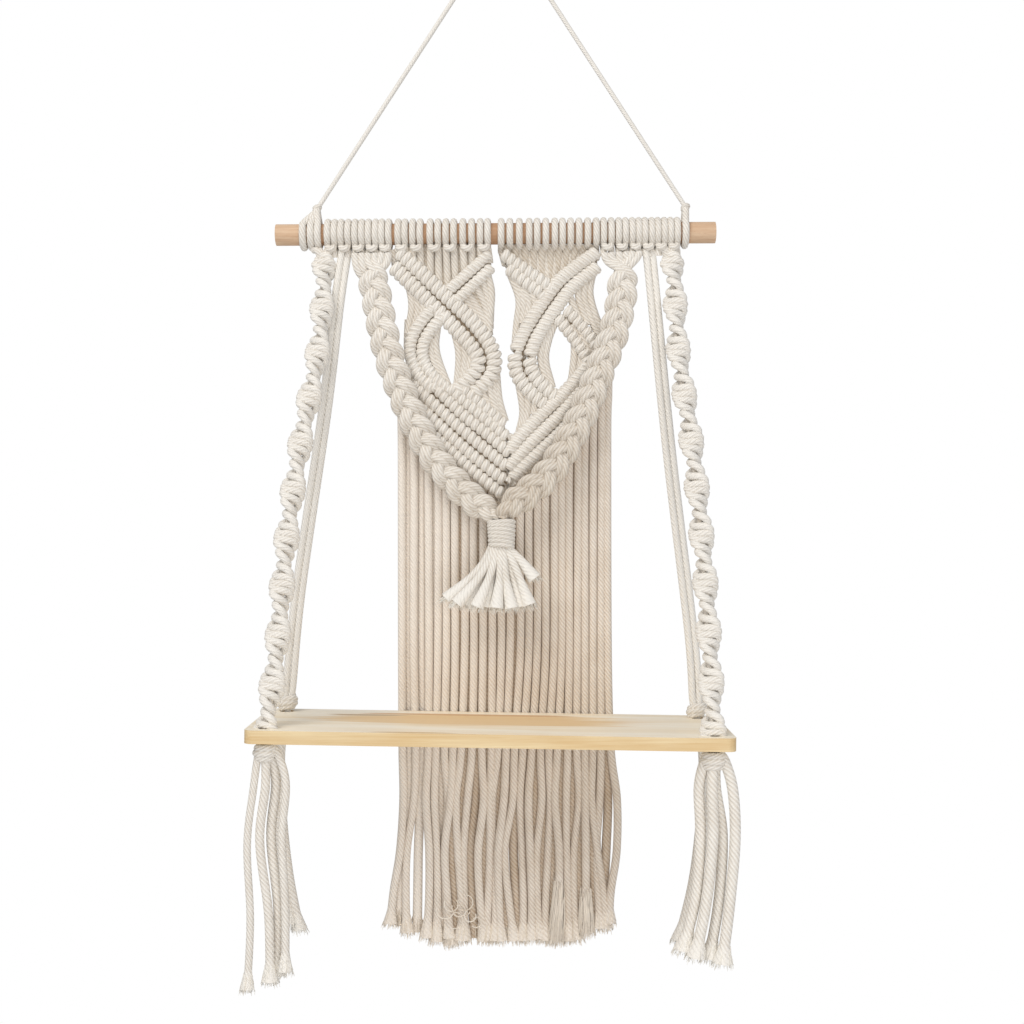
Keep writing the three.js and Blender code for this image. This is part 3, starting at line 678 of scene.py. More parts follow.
def seam_lines(depth, size):
    """Ropes along the seam between two rows, where the rows are close."""
    lines = []
    for band in BANDS:
        for upper, lower in zip(band["rows"], band["rows"][1:]):
            others = row_path(lower, ROW_Y + depth, 2.0)
            points = []
            for place in row_path(upper, ROW_Y + depth, 2.0):
                nearest = min(others, key=lambda other: (other - place).length)
                if (nearest - place).length < SEAM_REACH:
                    points.append((place + nearest) / 2)
            lines.append(line(points, size))
    return lines


def holding_lines():
    """The rope inside each row, that its turns hold."""
    return [line(row_path(row, ROW_Y + 0.6, 2.0), 0.75) for band in BANDS for row in band["rows"]]


# Ropes that run down behind the rows and show between them: the depth y, and the places they run through.
# One that starts at HEAD_FOOT_Z comes from a head.
HEAD_FOOT_Z = -285
PANEL_ROPES = [
    {"y": -2.5, "run": [(-92.5, -285), (-91, -296)]},
    {"y": -2.5, "run": [(-86.5, -285), (-85, -297)]},
    {"y": -2.5, "run": [(-79.7, -285), (-79, -303)]},
    {"y": -2.0, "run": [(-73.1, -285), (-72, -309)]},
    {"y": -1.5, "run": [(-64.1, -285), (-64, -316)]},
    {"y": -1.0, "run": [(-57.1, -285), (-56, -322)]},
    {"y": -1.0, "run": [(-50.1, -285), (-48, -322)]},
    {"y": -1.0, "run": [(-43.1, -285), (-41, -318)]},
    {"y": -1.5, "run": [(-34.9, -285), (-33, -312)]},
    {"y": -1.5, "run": [(-27.1, -285), (-26, -305)]},
    {"y": -2.5, "run": [(-19.5, -285), (-18, -298)]},
    {"y": -2.5, "run": [(-12.9, -285), (-11, -295)]},
    {"y": -3.0, "run": [(-84.7, -308), (-80.5, -333), (-84.5, -358)]},
    {"y": -3.5, "run": [(-79, -314), (-75, -336), (-79, -354)]},
    {"y": -4.5, "run": [(-72, -323), (-70.5, -338), (-76, -350)]},
    {"y": -4.0, "run": [(-66.5, -329), (-65.5, -338), (-69, -347)]},
    {"y": -3.0, "run": [(-62, -362), (-62.5, -378), (-52, -400)]},
    {"y": -3.0, "run": [(-57.5, -350), (-58.5, -374), (-46, -410)]},
    {"y": -3.0, "run": [(-42, -358), (-38.5, -378), (-41, -411)]},
    {"y": -3.5, "run": [(-36, -364), (-33, -378), (-36.5, -404)]},
    {"y": -4.0, "run": [(-31, -368), (-28, -379), (-33, -396)]},
    {"y": -3.0, "run": [(-36, -322), (-20.5, -346), (-14, -366)]},
    {"y": -3.0, "run": [(-30, -322), (-17, -343), (-11.5, -362)]},
    {"y": -3.5, "run": [(-24, -314), (-14.5, -334), (-11, -356)]},
    {"y": -3.5, "run": [(-18, -309), (-11.8, -328), (-10.6, -350)]},
    {"y": -4.0, "run": [(-12.5, -306), (-9.3, -322), (-11, -344)]},
    {"y": -3.0, "run": [(-5, -390), (-2.6, -416), (3, -436)]},
    {"y": -3.5, "run": [(-8, -394), (-5.4, -416), (0, -434)]},
    {"y": -4.5, "run": [(-13, -399), (-9, -414), (-3, -430)]},
    {"y": -4.0, "run": [(-19.5, -406), (-14.5, -416), (-6, -428)]},
    {"y": -2.0, "run": [(-0.8, -285), (3, -296)]},
    {"y": -2.0, "run": [(7, -285), (10, -300)]},
    {"y": -1.5, "run": [(15.4, -285), (18, -306)]},
    {"y": -1.0, "run": [(24.2, -285), (27, -313)]},
    {"y": -1.0, "run": [(31.2, -285), (33, -318)]},
    {"y": -1.0, "run": [(39, -285), (41, -316)]},
    {"y": -1.0, "run": [(47.1, -285), (47, -314)]},
    {"y": -1.0, "run": [(53.9, -285), (54, -310)]},
    {"y": -1.5, "run": [(61.2, -285), (61, -304)]},
    {"y": -2.0, "run": [(68.6, -285), (68, -298)]},
    {"y": -2.5, "run": [(76.4, -285), (76, -293)]},
    {"y": -2.5, "run": [(84, -285), (84, -291)]},
    {"y": 0.5, "run": [(19, -372), (18.5, -384), (20, -396)]},
    {"y": -3.0, "run": [(7.5, -305), (15, -327), (13, -350), (11.5, -368)]},
    {"y": -3.5, "run": [(12, -310), (19, -328), (18, -349)]},
    {"y": -4.0, "run": [(18, -316), (24, -330), (22, -344)]},
    {"y": -4.5, "run": [(26, -322), (30, -332), (26, -346)]},
    {"y": -3.0, "run": [(81, -304), (78.5, -322), (84, -343), (92, -360)]},
    {"y": -3.5, "run": [(75, -308), (73.5, -326), (81, -348), (88, -362)]},
    {"y": -4.0, "run": [(68, -316), (69, -328), (77, -350)]},
    {"y": -0.5, "run": [(-84, -345), (-84.5, -372), (-80, -396), (-74, -416)]},
    {"y": -4.5, "run": [(61, -326), (66, -338), (72, -352)]},
    {"y": -3.0, "run": [(56, -345), (64.5, -368), (61, -408)]},
    {"y": -3.5, "run": [(62, -350), (70.5, -372), (67, -404)]},
    {"y": -4.0, "run": [(70, -356), (77, -376), (74, -396)]},
    {"y": -3.5, "run": [(79, -366), (84, -384), (79, -400)]},
    {"y": -3.0, "run": [(48, -346), (41.5, -364), (39, -382), (45, -406)]},
    {"y": -3.5, "run": [(43, -352), (36, -370), (35, -384), (42, -404)]},
    {"y": -3.0, "run": [(12, -388), (15.5, -406), (18.5, -428), (15, -446)]},
    {"y": -3.5, "run": [(18, -396), (22, -410), (23, -426), (19, -442)]},
    {"y": -4.0, "run": [(25, -402), (29.5, -414), (28, -430)]},
    {"y": -3.5, "run": [(33, -412), (37, -422), (33, -432)]},
    {"y": -2.5, "run": [(42, -412), (46, -420), (42, -430)]},
    {"y": -3.0, "run": [(-70, -402), (-66, -424), (-54, -446)]},
    {"y": -3.0, "run": [(-78, -398), (-72, -418), (-64, -436)]},
    {"y": -3.0, "run": [(-52, -444), (-42, -462), (-34, -478)]},
    {"y": -0.5, "run": [(0, -462), (3, -484), (-1, -508)]},
    {"y": -0.5, "run": [(8, -462), (10, -484), (5, -504)]},
    {"y": -0.5, "run": [(17, -462), (18, -478), (12, -496)]},
    {"y": -0.5, "run": [(27, -456), (27, -470), (21, -488)]},
    {"y": -0.5, "run": [(38, -446), (38, -460), (32, -478)]},
    {"y": -0.5, "run": [(50, -434), (51, -450), (45, -468)]},
    {"y": -0.5, "run": [(61, -420), (62, -436), (57, -454)]},
    {"y": -0.5, "run": [(71, -400), (72, -418), (68, -436)]},
    {"y": -1.5, "run": [(-98, -283), (-96, -292), (-95, -302)]},
]


def panel_rope_lines():
    """The ropes under the rows. One that starts at a head is the head's own rope, and lies on it there."""
    lines = []
    for rope in PANEL_ROPES:
        points = [(x, rope["y"], z) for x, z in rope["run"]]
        if points[0][2] == HEAD_FOOT_Z:
            x = points[0][0]
            points[0] = (x, -HEAD_DROP_Y if x < PANEL_PARTING else HEAD_DROP_Y, HEAD_FOOT_Z + 4)
        lines.append(line(smooth_points(points), 1.05, 0.15))
    return lines


# How close two ropes run to have one of the second layer between them, and how far behind them it lies
NEAR_ACROSS = 11
NEAR_DOWN = 26
SECOND_LAYER_GAP = 2.6


def second_layer_lines():
    """Ropes of the second layer, that show between two neighbours of the first."""
    lines = []
    for left, right in zip(PANEL_ROPES, PANEL_ROPES[1:]):
        pairs = list(zip(left["run"], right["run"]))
        near = all(abs(a[0] - b[0]) < NEAR_ACROSS and abs(a[1] - b[1]) < NEAR_DOWN for a, b in pairs)
        if len(left["run"]) == len(right["run"]) and near:
            y = max(left["y"], right["y"]) + SECOND_LAYER_GAP
            points = [((a[0] + b[0]) / 2, y, (a[1] + b[1]) / 2) for a, b in pairs]
            if pairs[0][0][1] == HEAD_FOOT_Z:
                points[0] = (points[0][0], points[0][1], HEAD_FOOT_Z + 7)
            lines.append(line(smooth_points(points), 1.15, 0.35))
    return lines


# Plaits: three groups of two ropes that pass over each other in turn. opening and closing are the lengths
# over which the plait draws out of the heads and narrows into the tassel. pair is half the space in a group.
PLAIT_STEP = 1.5
PLAIT = {"reach": 8.0, "weave": 3.3, "period": 55, "pair": 3.0, "opening": 26, "closing": 22}
PLAITS = [
    {
        "heads": (-128.1, -116.0, -104.2),
        "route": [
            (-116, -8, -287), (-115.6, -9, -303), (-110.7, -13, -329), (-104.5, -16.5, -360),
            (-96.6, -17.5, -389), (-79.7, -17.5, -432), (-60.2, -17.5, -468.3), (-44.3, -17.5, -488),
            (-28.3, -17.5, -504), (-12, -17.5, -516), (-3, -17.5, -524),
        ],
        "start": 0.3,
        "shade": 0.15,
    },
    {
        "heads": (94.0, 107.0, 119.0),
        "route": [
            (107, -8, -286), (107.7, -9, -303), (105.9, -13, -326.5), (100.2, -16.5, -354), (90.4, -18, -382),
            (70.9, -19, -431), (49.7, -20.5, -471), (34.6, -22.5, -490), (17.8, -23.5, -504), (6, -23, -513),
            (-1, -20, -522),
        ],
        "start": 2.2,
        "shade": 0.36,
    },
]


def plait_lines(plait):
    path = smooth_points(plait["route"], 1.0)
    places = along_path(path, PLAIT_STEP)
    length = PLAIT_STEP * len(places)
    lines = []
    for group in range(3):
        home = plait["heads"][group] - plait["heads"][1]
        for hand in (-1, 1):
            points = []
            for i, (place, direction) in enumerate(places):
                way = PLAIT_STEP * i
                side = BACK.cross(direction).normalized()
                out = direction.cross(side)
                angle = 2 * math.pi * (way / PLAIT["period"] + group / 3) + plait["start"]
                opened = min(1, way / PLAIT["opening"])
                opened = opened * opened * (3 - 2 * opened)
                closed = min(1, (length - way) / PLAIT["closing"])
                across = PLAIT["reach"] * math.sin(angle) * (0.25 + 0.75 * closed)
                deep = PLAIT["weave"] * math.sin(2 * angle) * opened
                spread = PLAIT["pair"] * hand * (0.3 + 0.7 * closed) * (1 - 0.12 * opened)
                across = opened * across + (1 - opened) * home * side.x
                points.append(place + (across + spread) * side - deep * out)
            lines.append(line(points, 1.06, lambda share: plait["shade"] * share))
    return lines


# Side ropes: spirals of half knots. Two working ropes wind round the core. lump is the length of one lump and
# first_lump where the first one starts, knot the length of a half knot, and stretch how much longer it is in
# the neck between two lumps.
SINNET = {
    "first_lump": 9, "lump": 41.9, "knot": 5.3, "stretch": 1.8, "wide": 8.3, "narrow": 3.3, "step": 0.7,
}
SINNETS = [
    {
        "piece": "sinnet_left",
        "heads": (-165.5, -152.4),
        "route": [
            (-158.6, -6, -286), (-158.6, -11, -318), (-162, -26, -379), (-174.3, -46, -461),
            (-182.6, -67, -542), (-186.1, -88, -620), (-188.8, -98, -656.6), (-193.3, -108, -697),
        ],
    },
    {
        "piece": "sinnet_right",
        "heads": (141.8, 153.2),
        "route": [
            (150.5, -6, -285), (153, -11, -320), (154.8, -25, -377), (164.3, -46, -462),
            (170.3, -66, -544), (173, -87, -621), (173.7, -97, -661), (173.9, -108, -703),
        ],
    },
]


def sinnet_lines(sinnet):
    """Two working ropes. They cross the face of each lump nearly level, and run steeply down each neck."""
    step, knot = SINNET["step"], SINNET["knot"]
    places = along_path(smooth_points(sinnet["route"], 1.0), step)
    lines = []
    for start in (0, math.pi):
        points, shades = [], []
        angle = start
        for i, (place, direction) in enumerate(places):
            way = step * i
            turn = math.pi * (way - SINNET["first_lump"]) / SINNET["lump"]
            neck = math.sin(turn) ** 2
            angle += math.pi * step / (knot * (1 + SINNET["stretch"] * neck))
            side = BACK.cross(direction).normalized()
            out = direction.cross(side)
            broad = SINNET["wide"] * math.cos(angle)
            thin = SINNET["narrow"] * math.sin(angle)
            lag = 0.8 * (1 - neck) * knot / math.pi * math.sin(2 * angle)
            ease = min(1, 0.25 + way / 14)
            across = ease * (broad * math.cos(turn) - thin * math.sin(turn))
            deep = ease * (broad * math.sin(turn) + thin * math.cos(turn))
            points.append(place + across * side - deep * out + lag * direction)
            shades.append(-0.1 - 0.5 * neck)
        lines.append(line(points, 1.02, lambda share: shades[round(share * (len(shades) - 1))]))
    return lines


def core_lines(sinnet):
    """The two pairs from the heads draw together into the core of the spiral."""
    top = Vector(sinnet["route"][0])
    lines = []
    for x in sinnet["heads"]:
        for hand in (-3, 3):
            start = Vector((x + hand, -4.6, dowel_z(x) - 15))
            middle = (start + top) / 2 + Vector((0.2 * (x - top.x), -2, 1))
            lines.append(line(smooth_points([start, middle, top + Vector((0, 0, -10))]), 0.9))
    return [*lines, line(smooth_points(sinnet["route"], 3.0), 0.85, 0.1)]


# Rear side ropes: two plain strands each, from a head to a knot on the board and on into their hole
REAR_KNOT = {"wide": 6.5, "deep": 5.2, "tall": 9.5}
REAR_ROPES = [
    {
        "piece": "rear_rope_left",
        "route": [
            (-140, -4.4, -285), (-146.6, -5, -331), (-157.8, -5, -426), (-180.7, -7, -586),
            (-189.5, -8, -676),
        ],
        "knot": (-190.5, -8, -686.5),
        "fall": (-191.1, -8, -697),
    },
    {
        "piece": "rear_rope_right",
        "route": [
            (131, -4.4, -284), (134.3, -5, -315), (149.1, -5, -463), (168.1, -7, -623), (172.4, -8, -684),
        ],
        "knot": (173, -8, -693),
        "fall": (173.4, -8, -703),
    },
]


def rear_lines(rope):
    lines = []
    for hand in (-1, 1):
        points = [(x + hand * 2.9, y + hand * 0.6, z) for x, y, z in rope["route"]]
        lines.append(line(smooth_points([*points, rope["knot"], rope["fall"]]), 1.0, -0.3))
    return lines


def knot_lines(place, wide, deep, tall, turns=3, tilt=0.35):
    """A hard overhand knot: turns of rope wound on the slant round the ropes that pass through it."""
    x, y, z = place
    steps = 16
    points = []
    for i in range(turns * steps + 1):
        share = i / (turns * steps)
        angle = 2 * math.pi * i / steps
        swell = 0.7 + 0.3 * math.sin(math.pi * share)
        points.append((
            x + swell * wide * math.cos(angle),
            y + swell * deep * math.sin(angle),
            z + tall * (0.5 - share) + tilt * wide * math.cos(angle + 0.6),
        ))
    return [line(smooth_points(points, 1.5), 0.95)]


# Tassel: a wrapped head over the plaits' rope ends. turn is the height of one turn of the wrap. Each end has
# its place, and how far it bends aside halfway.
TASSEL = {"x": -0.4, "y": -19, "top": -523.5, "turn": 3.5, "turns": 7, "wide": 10.6, "deep": 8.2}
TASSEL_BRUSH = 24
TASSEL_SIZE = 1.13
TASSEL_ENDS = [
    {"x": -50, "y": -24, "z": -595, "bend": 3},
    {"x": -40.5, "y": -29, "z": -599, "bend": 2},
    {"x": -31, "y": -22, "z": -601, "bend": -1},
    {"x": -22.8, "y": -31, "z": -602, "bend": 1},
    {"x": -14, "y": -24, "z": -602.5, "bend": -1},
    {"x": -5, "y": -32, "z": -603, "bend": 1},
    {"x": 3, "y": -21, "z": -603, "bend": 0},
    {"x": 9, "y": -31, "z": -603, "bend": -1},
    {"x": 17, "y": -23, "z": -602, "bend": 1},
    {"x": 25, "y": -29, "z": -600, "bend": 2},
    {"x": 30, "y": -24, "z": -577, "bend": 2},
    {"x": -9, "y": -18, "z": -600, "bend": 0},
]


def wrap_lines():
    steps = 18
    points = []
    for i in range(TASSEL["turns"] * steps + 1):
        angle = 2 * math.pi * i / steps + 0.6
        share = i / (TASSEL["turns"] * steps)
        waist = 1.06 - 0.12 * share
        slant = 1.3 * math.cos(angle + 1.9 * math.sin(2.3 * share))
        points.append((
            TASSEL["x"] + TASSEL["wide"] * waist * math.cos(angle),
            TASSEL["y"] + TASSEL["deep"] * waist * math.sin(angle),
            TASSEL["top"] - TASSEL["turn"] * i / steps + slant,
        ))
    return [line(points, 0.68)]


def tassel_routes():
    routes = []
    x, y = TASSEL["x"], TASSEL["y"]
    bottom = TASSEL["top"] - TASSEL["turn"] * TASSEL["turns"]
    for end in TASSEL_ENDS:
        start_x = x + 0.17 * (end["x"] - x)
        start_y = y + 0.4 * (end["y"] - y + 7)
        middle_x = x + 0.47 * (end["x"] - x) + end["bend"]
        routes.append([
            (start_x, start_y, bottom + 14),
            (start_x, start_y, bottom + 1),
            (middle_x, (start_y + end["y"]) / 2 - 2, (bottom + end["z"]) / 2 + 4),
            (end["x"], end["y"], end["z"]),
        ])
    return routes


# How much paler a cut end is than its rope, and one whose frayed end is long
PALE = 0.35
LONG_PALE = 0.8


def flare(left, brush):
    """How much wider a rope has opened, left mm before its cut end."""
    return 1 + 0.8 * max(0, 1 - left / brush) ** 1.2


def cut_rope(route, brush, size=1.0, step=2.2, shade=None, pale=PALE):
    """A rope that opens out over its last stretch and is paler there. Brushed fibres cover its end."""
    points = smooth_points(route, step)
    last = len(points) - 2
    sizes, shades = [], []
    for i in range(last + 1):
        left = (last - i) * step
        sizes.append(size * flare(left, brush))
        shades.append((shade(i / last) if shade else 0) - pale * max(0, 1 - left / brush) ** 0.5)
    return {"points": points[: last + 1], "size": sizes, "shade": shades}


def tassel_lines():
    return [cut_rope(route, TASSEL_BRUSH, TASSEL_SIZE) for route in tassel_routes()]


# Curtain: strands that hang off a strip behind the V. top is the height where each one comes off the strip,
# across is its places at the three heights, and end is where it ends. brush is how long its frayed end is.
CURTAIN_HEIGHTS = (-642, -730, -822)
CURTAIN_Y = 10.5
CURTAIN_SIZE = 1.13
END_COVER = 4
# A frayed end longer than LONG_BRUSH is fuller. For each kind of end: its width, its fibres and their shade.
LONG_BRUSH = 20
SHORT_END = {"size": CURTAIN_SIZE, "count": 56, "shade": -0.1}
LONG_END = {"size": 1.25 * CURTAIN_SIZE, "count": 170, "shade": -0.5}
SECOND_LAYER_END = {"length": 14, "size": 1.3, "count": 38}
CURTAIN = [
    {"top": -426, "across": (-90.4, -90, -91.3), "end": (-101.2, -890), "brush": 9},
    {"top": -438, "across": (-79.7, -77.9, -84.9), "end": (-85.8, -898), "brush": 12},
    {"top": -454, "across": (-65.9, -66.5, -66.9), "end": (-68.3, -902), "brush": 14},
    {"top": -462, "across": (-58, -59.7, -59.7), "end": (-59.5, -906), "brush": 16},
    {"top": -470, "across": (-50.4, -52, -50.7), "end": (-47.4, -903), "brush": 12},
    {"top": -478, "across": (-42.4, -44.3, -51.1), "end": (-46.1, -908.6), "brush": 12},
    {"top": -486, "across": (-33.8, -36.8, -41.6), "end": (-37.1, -905), "brush": 12},
    {"top": -492, "across": (-25.5, -27.2, -35), "end": (-34, -905), "brush": 14},
    {"top": -498, "across": (-17.3, -18.4, -20), "end": (-15.9, -905), "brush": 12},
    {"top": -504, "across": (-8.9, -9.6, -11.4), "end": (-14.6, -904), "brush": 12},
    {"top": -505, "across": (-0.7, -3.8, -9.1), "end": (-7.3, -905), "brush": 12},
    {"top": -503, "across": (7.1, 3.8, -2.8), "end": (-1, -905), "brush": 12},
    {"top": -500, "across": (16.4, 11.3, 3.5), "end": (11.6, -905), "brush": 12},
    {"top": -491, "across": (24, 18.8, 17), "end": (18.5, -905), "brush": 12},
    {"top": -484, "across": (31.5, 26.9, 24.2), "end": (26, -904), "brush": 12},
    {"top": -476, "across": (39.2, 34.8, 32.4), "end": (34.2, -903), "brush": 12},
    {"top": -467, "across": (46.8, 42.3, 42.3), "end": (38.7, -905), "brush": 12},
    {"top": -459, "across": (53.7, 50, 49.9), "end": (47.7, -906), "brush": 55},
    {"top": -451, "across": (60.6, 59.2, 57.6), "end": (60.3, -905), "brush": 14},
    {"top": -442, "across": (67.8, 67.4, 66.6), "end": (67.5, -904), "brush": 14},
    {"top": -432, "across": (74.8, 74.7, 75.3), "end": (75.7, -898), "brush": 38},
    {"top": -422, "across": (82, 81.9, 84.3), "end": (93.3, -894), "brush": 10},
    {"top": -412, "across": (89.2, 89.2, 85.6), "end": (88.3, -894), "brush": 10},
    {"top": -401, "across": (95.4, 98, 104.5), "end": (96.4, -889), "brush": 9},
]


def curtain_route(strand, index):
    """The way of one strand. It sways a little, and bows and stands out differently from its neighbours."""
    top, middle, low = strand["across"]
    high, board, under = CURTAIN_HEIGHTS
    end_x, end_z = strand["end"]
    sway = 1.2 * math.sin(2.4 * index)
    bow = 2.5 * math.sin(1.7 * index + 0.6)
    depth = 3.2 * math.sin(2.1 * index)
    start = strand["top"]
    return [
        (top, STRIP_Y, start + 6),
        (top, 4.5, start - 12),
        (top + 0.5 * sway, CURTAIN_Y - 2, start - 50),
        (top, CURTAIN_Y, min(high, start - 120)),
        (middle, CURTAIN_Y, board),
        (0.5 * (middle + low) + bow, CURTAIN_Y + 0.6 * depth, 0.5 * (board + under)),
        (low - 0.6 * bow, CURTAIN_Y + depth, under),
        (0.45 * low + 0.55 * end_x - 0.9 * bow, CURTAIN_Y + 0.5 * depth, 0.45 * under + 0.55 * end_z),
        (end_x, CURTAIN_Y, end_z),
    ]


def curtain_shade(index, share):
    """The strands on the left are paler, and all of them are a little darker towards the foot."""
    return -0.46 * max(0, 1 - index / 15) * (1 - 0.6 * share) + 0.14 * share


def curtain_lines():
    lines = []
    for i, strand in enumerate(CURTAIN):
        lines.append(cut_rope(
            curtain_route(strand, i), strand["brush"] + END_COVER, CURTAIN_SIZE, 2.5,
            lambda share: curtain_shade(i, share), PALE if strand["brush"] < LONG_BRUSH else LONG_PALE,
        ))
    return lines


def second_layer_route(index):
    """The way of a strand that hangs behind two neighbours, halfway between them."""
    first, second = curtain_route(CURTAIN[index], index), curtain_route(CURTAIN[index + 1], index + 1)
    points = [(Vector(a) + Vector(b)) / 2 + Vector((0, 5.5, 0)) for a, b in zip(first, second)]
    points[-1].z += 3
    return points


def curtain_second_layer():
    """Strands of the second layer, deep between two neighbours of the first."""
    return [
        line(
            smooth_points(second_layer_route(i), 3.0), lambda share: 1.1 + 0.25 * share,
            0.42 - 1.1 * max(0, 1 - i / 5),
        )
        for i in range(len(CURTAIN) - 1)
    ]


STRIP_ROUTE = [(-94, -421), (-50, -479), (-12, -506), (14, -500), (55, -459), (96, -394)]
STRIP_Y = 2.7


def strip_lines():
    """The strip behind the V: a rope with the curtain strands wrapped once round it, pressed flat."""
    path = row_path(STRIP_ROUTE, STRIP_Y, 2.0)
    coil = coil_line(row_path(STRIP_ROUTE, STRIP_Y), 5.6, 3.2)
    flattened = [Vector((p.x, STRIP_Y + 0.4 * (p.y - STRIP_Y), p.z)) for p in coil["points"]]
    return [line(path, 0.5), line(flattened, 0.75)]


# Tails under the board. knot is half the width, half the depth and the height of the stopper knot. Each
# strand has its places across, counted from the hole, down to its end, and its depth from the hole.
HOLES = {
    "front_left": (-193.3, -108),
    "front_right": (173.9, -108),
    "rear_left": (-191.1, -8),
    "rear_right": (173.4, -8),
}
BOARD = {"middle_x": -8.7, "top_z": -697, "thickness": 11, "fall": 6.7 / 400.4}
TAIL_BRUSH = 15
KNOT_GAP = 0.5
TAILS = [
    {"piece": "tail_front_left", "hole": "front_left", "knot": (9.5, 9, 16), "strands": [
        {"near": -8.8, "third": -14, "far": -11.5, "end": -14, "y": -4, "z": -908, "size": 1.0},
        {"near": 0.8, "third": -3.9, "far": 3.3, "end": 4.6, "y": -3, "z": -902, "size": 1.2},
        {"near": 8.2, "third": 4.2, "far": 10, "end": 8, "y": 4, "z": -899, "size": 1.3},
        {"near": 17.4, "third": 14.2, "far": 16.9, "end": 16.9, "y": -3, "z": -894, "size": 1.05},
    ]},
    {"piece": "tail_front_right", "hole": "front_right", "knot": (10.5, 9.5, 17), "strands": [
        {"near": -11.5, "third": -10.4, "far": -14, "end": -25, "y": 2, "z": -878, "size": 1.45},
        {"near": -1.5, "third": -1, "far": -6.2, "end": -15.5, "y": -4, "z": -882, "size": 1.45},
        {"near": 2.5, "third": 8, "far": 5, "end": -3, "y": 4, "z": -885, "size": 1.4},
        {"near": 15.5, "third": 17.3, "far": 12.8, "end": 6.6, "y": -3, "z": -887, "size": 1.45},
    ]},
    {"piece": "tail_rear_left", "hole": "rear_left", "knot": (6.5, 6, 10), "strands": [
        {"near": -11, "third": -9, "far": -4, "end": 3, "y": -1, "z": -884, "size": 1.15},
        {"near": -6, "third": -5, "far": 1, "end": 11, "y": 1, "z": -890, "size": 1.25},
    ]},
    {"piece": "tail_rear_right", "hole": "rear_right", "knot": (6.5, 6, 10), "strands": [
        {"near": 5, "third": 3, "far": -4, "end": -17, "y": -1, "z": -899, "size": 1.2},
        {"near": 9, "third": 8, "far": 2, "end": -9, "y": 1, "z": -896, "size": 1.1},
    ]},
]


def board_under(x):
    return BOARD["top_z"] - BOARD["thickness"] - (x - BOARD["middle_x"]) * BOARD["fall"]


def tail_routes(tail):
    x, y = HOLES[tail["hole"]]
    top = board_under(x) - KNOT_GAP
    start = top - 0.6 * tail["knot"][2]
    routes = []
    for strand in tail["strands"]:
        fall = strand["z"] - start
        depth = y + strand["y"]
        routes.append([
            (x + 0.25 * strand["near"], y + 0.2 * strand["y"], top - 3),
            (x + 0.6 * strand["near"], y + 0.4 * strand["y"], start),
            (x + strand["near"], depth, start + 0.14 * fall),
            (x + strand["third"], depth, start + 0.38 * fall),
            (x + strand["far"], depth, start + 0.7 * fall),
            (x + strand["end"], depth, strand["z"]),
        ])
    return routes


def tail_lines(tail):
    x, y = HOLES[tail["hole"]]
    wide, deep, tall = tail["knot"]
    middle = (x, y, board_under(x) - KNOT_GAP - tall / 2)
    strands = zip(tail_routes(tail), tail["strands"])
    ropes = [cut_rope(route, TAIL_BRUSH, strand["size"]) for route, strand in strands]
    return [*ropes, *knot_lines(middle, wide - 2, deep - 2, tall - 4, 3, 0.12)]


# Frayed ends: thin fibres that spread from the last stretch of a rope
TASSEL_FIBRES = 64
TAIL_FIBRES = 70


def brush_lines(route, length, seed, count, size=1.0, shade=0.0):
    """Fibres on the last stretch of a rope. They lie on it, open out with it and end unevenly past it."""
    chance = random.Random(seed)
    path = smooth_points(route, 1.0)
    last = len(path) - 1
    radius = 0.5 * ROPE * size
    direction = (path[last] - path[last - 3]).normalized()
    lines = []
    for _ in range(count):
        angle = chance.uniform(0, 2 * math.pi)
        reach = chance.choice((1.04, 1.04, chance.uniform(0.2, 1)))
        outward = Vector((math.cos(angle), math.sin(angle), 0)) * reach * radius
        begin = chance.uniform(0, 0.45)
        over = chance.uniform(-1, 4.5) - 1.5 * reach
        twist = chance.uniform(-0.5, 0.2)
        points = []
        for share in (begin, 0.4 + 0.6 * begin, 0.75 + 0.25 * begin, 1):
            left = (1 - share) * (length + 1)
            turned = Matrix.Rotation(twist * share, 3, "Z") @ outward
            stray = Vector((chance.uniform(-1, 1), chance.uniform(-1, 1), 0)) * 0.7 * share
            points.append(path[max(0, last - round(left))] + flare(left, length) * turned + stray)
        points.append(points[-1] + over * direction + 0.06 * over * outward)
        own_shade = shade + chance.uniform(-0.3, 0.3)
        lines.append(line(smooth_points(points, 4.0), lambda way: 1 - 0.55 * way, own_shade))
    return lines


# Curled stray fibres in front of the curtain's foot: the middle, radius, turns and first angle of each
STRAY_CURLS = [
    {"at": (-45, -2, -868), "radius": 7, "turns": 0.7, "start": 2.6},
    {"at": (-38, -3, -873), "radius": 6, "turns": 0.8, "start": 3.4},
    {"at": (-33, -1, -866), "radius": 8, "turns": 0.6, "start": 4.0},
    {"at": (-50, -2, -873), "radius": 9, "turns": 0.5, "start": 3.0},
    {"at": (-28, -3, -878), "radius": 6, "turns": 0.7, "start": 2.2},
    {"at": (-42, -4, -881), "radius": 8, "turns": 0.6, "start": 4.4},
    {"at": (-35, -2, -871), "radius": 10, "turns": 0.45, "start": 2.9},
    {"at": (-23, -1, -884), "radius": 5, "turns": 0.8, "start": 3.8},
]


def stray_curls():
    lines = []
    for curl in STRAY_CURLS:
        x, y, z = curl["at"]
        points = []
        for i in range(17):
            angle = curl["start"] + 2 * math.pi * curl["turns"] * i / 16
            reach = curl["radius"] * (1 - 0.25 * i / 16)
            points.append(Vector((x + reach * math.cos(angle), y + 0.15 * i, z + reach * math.sin(angle))))
        lines.append(line(points, 1.7, -0.4))
    return lines


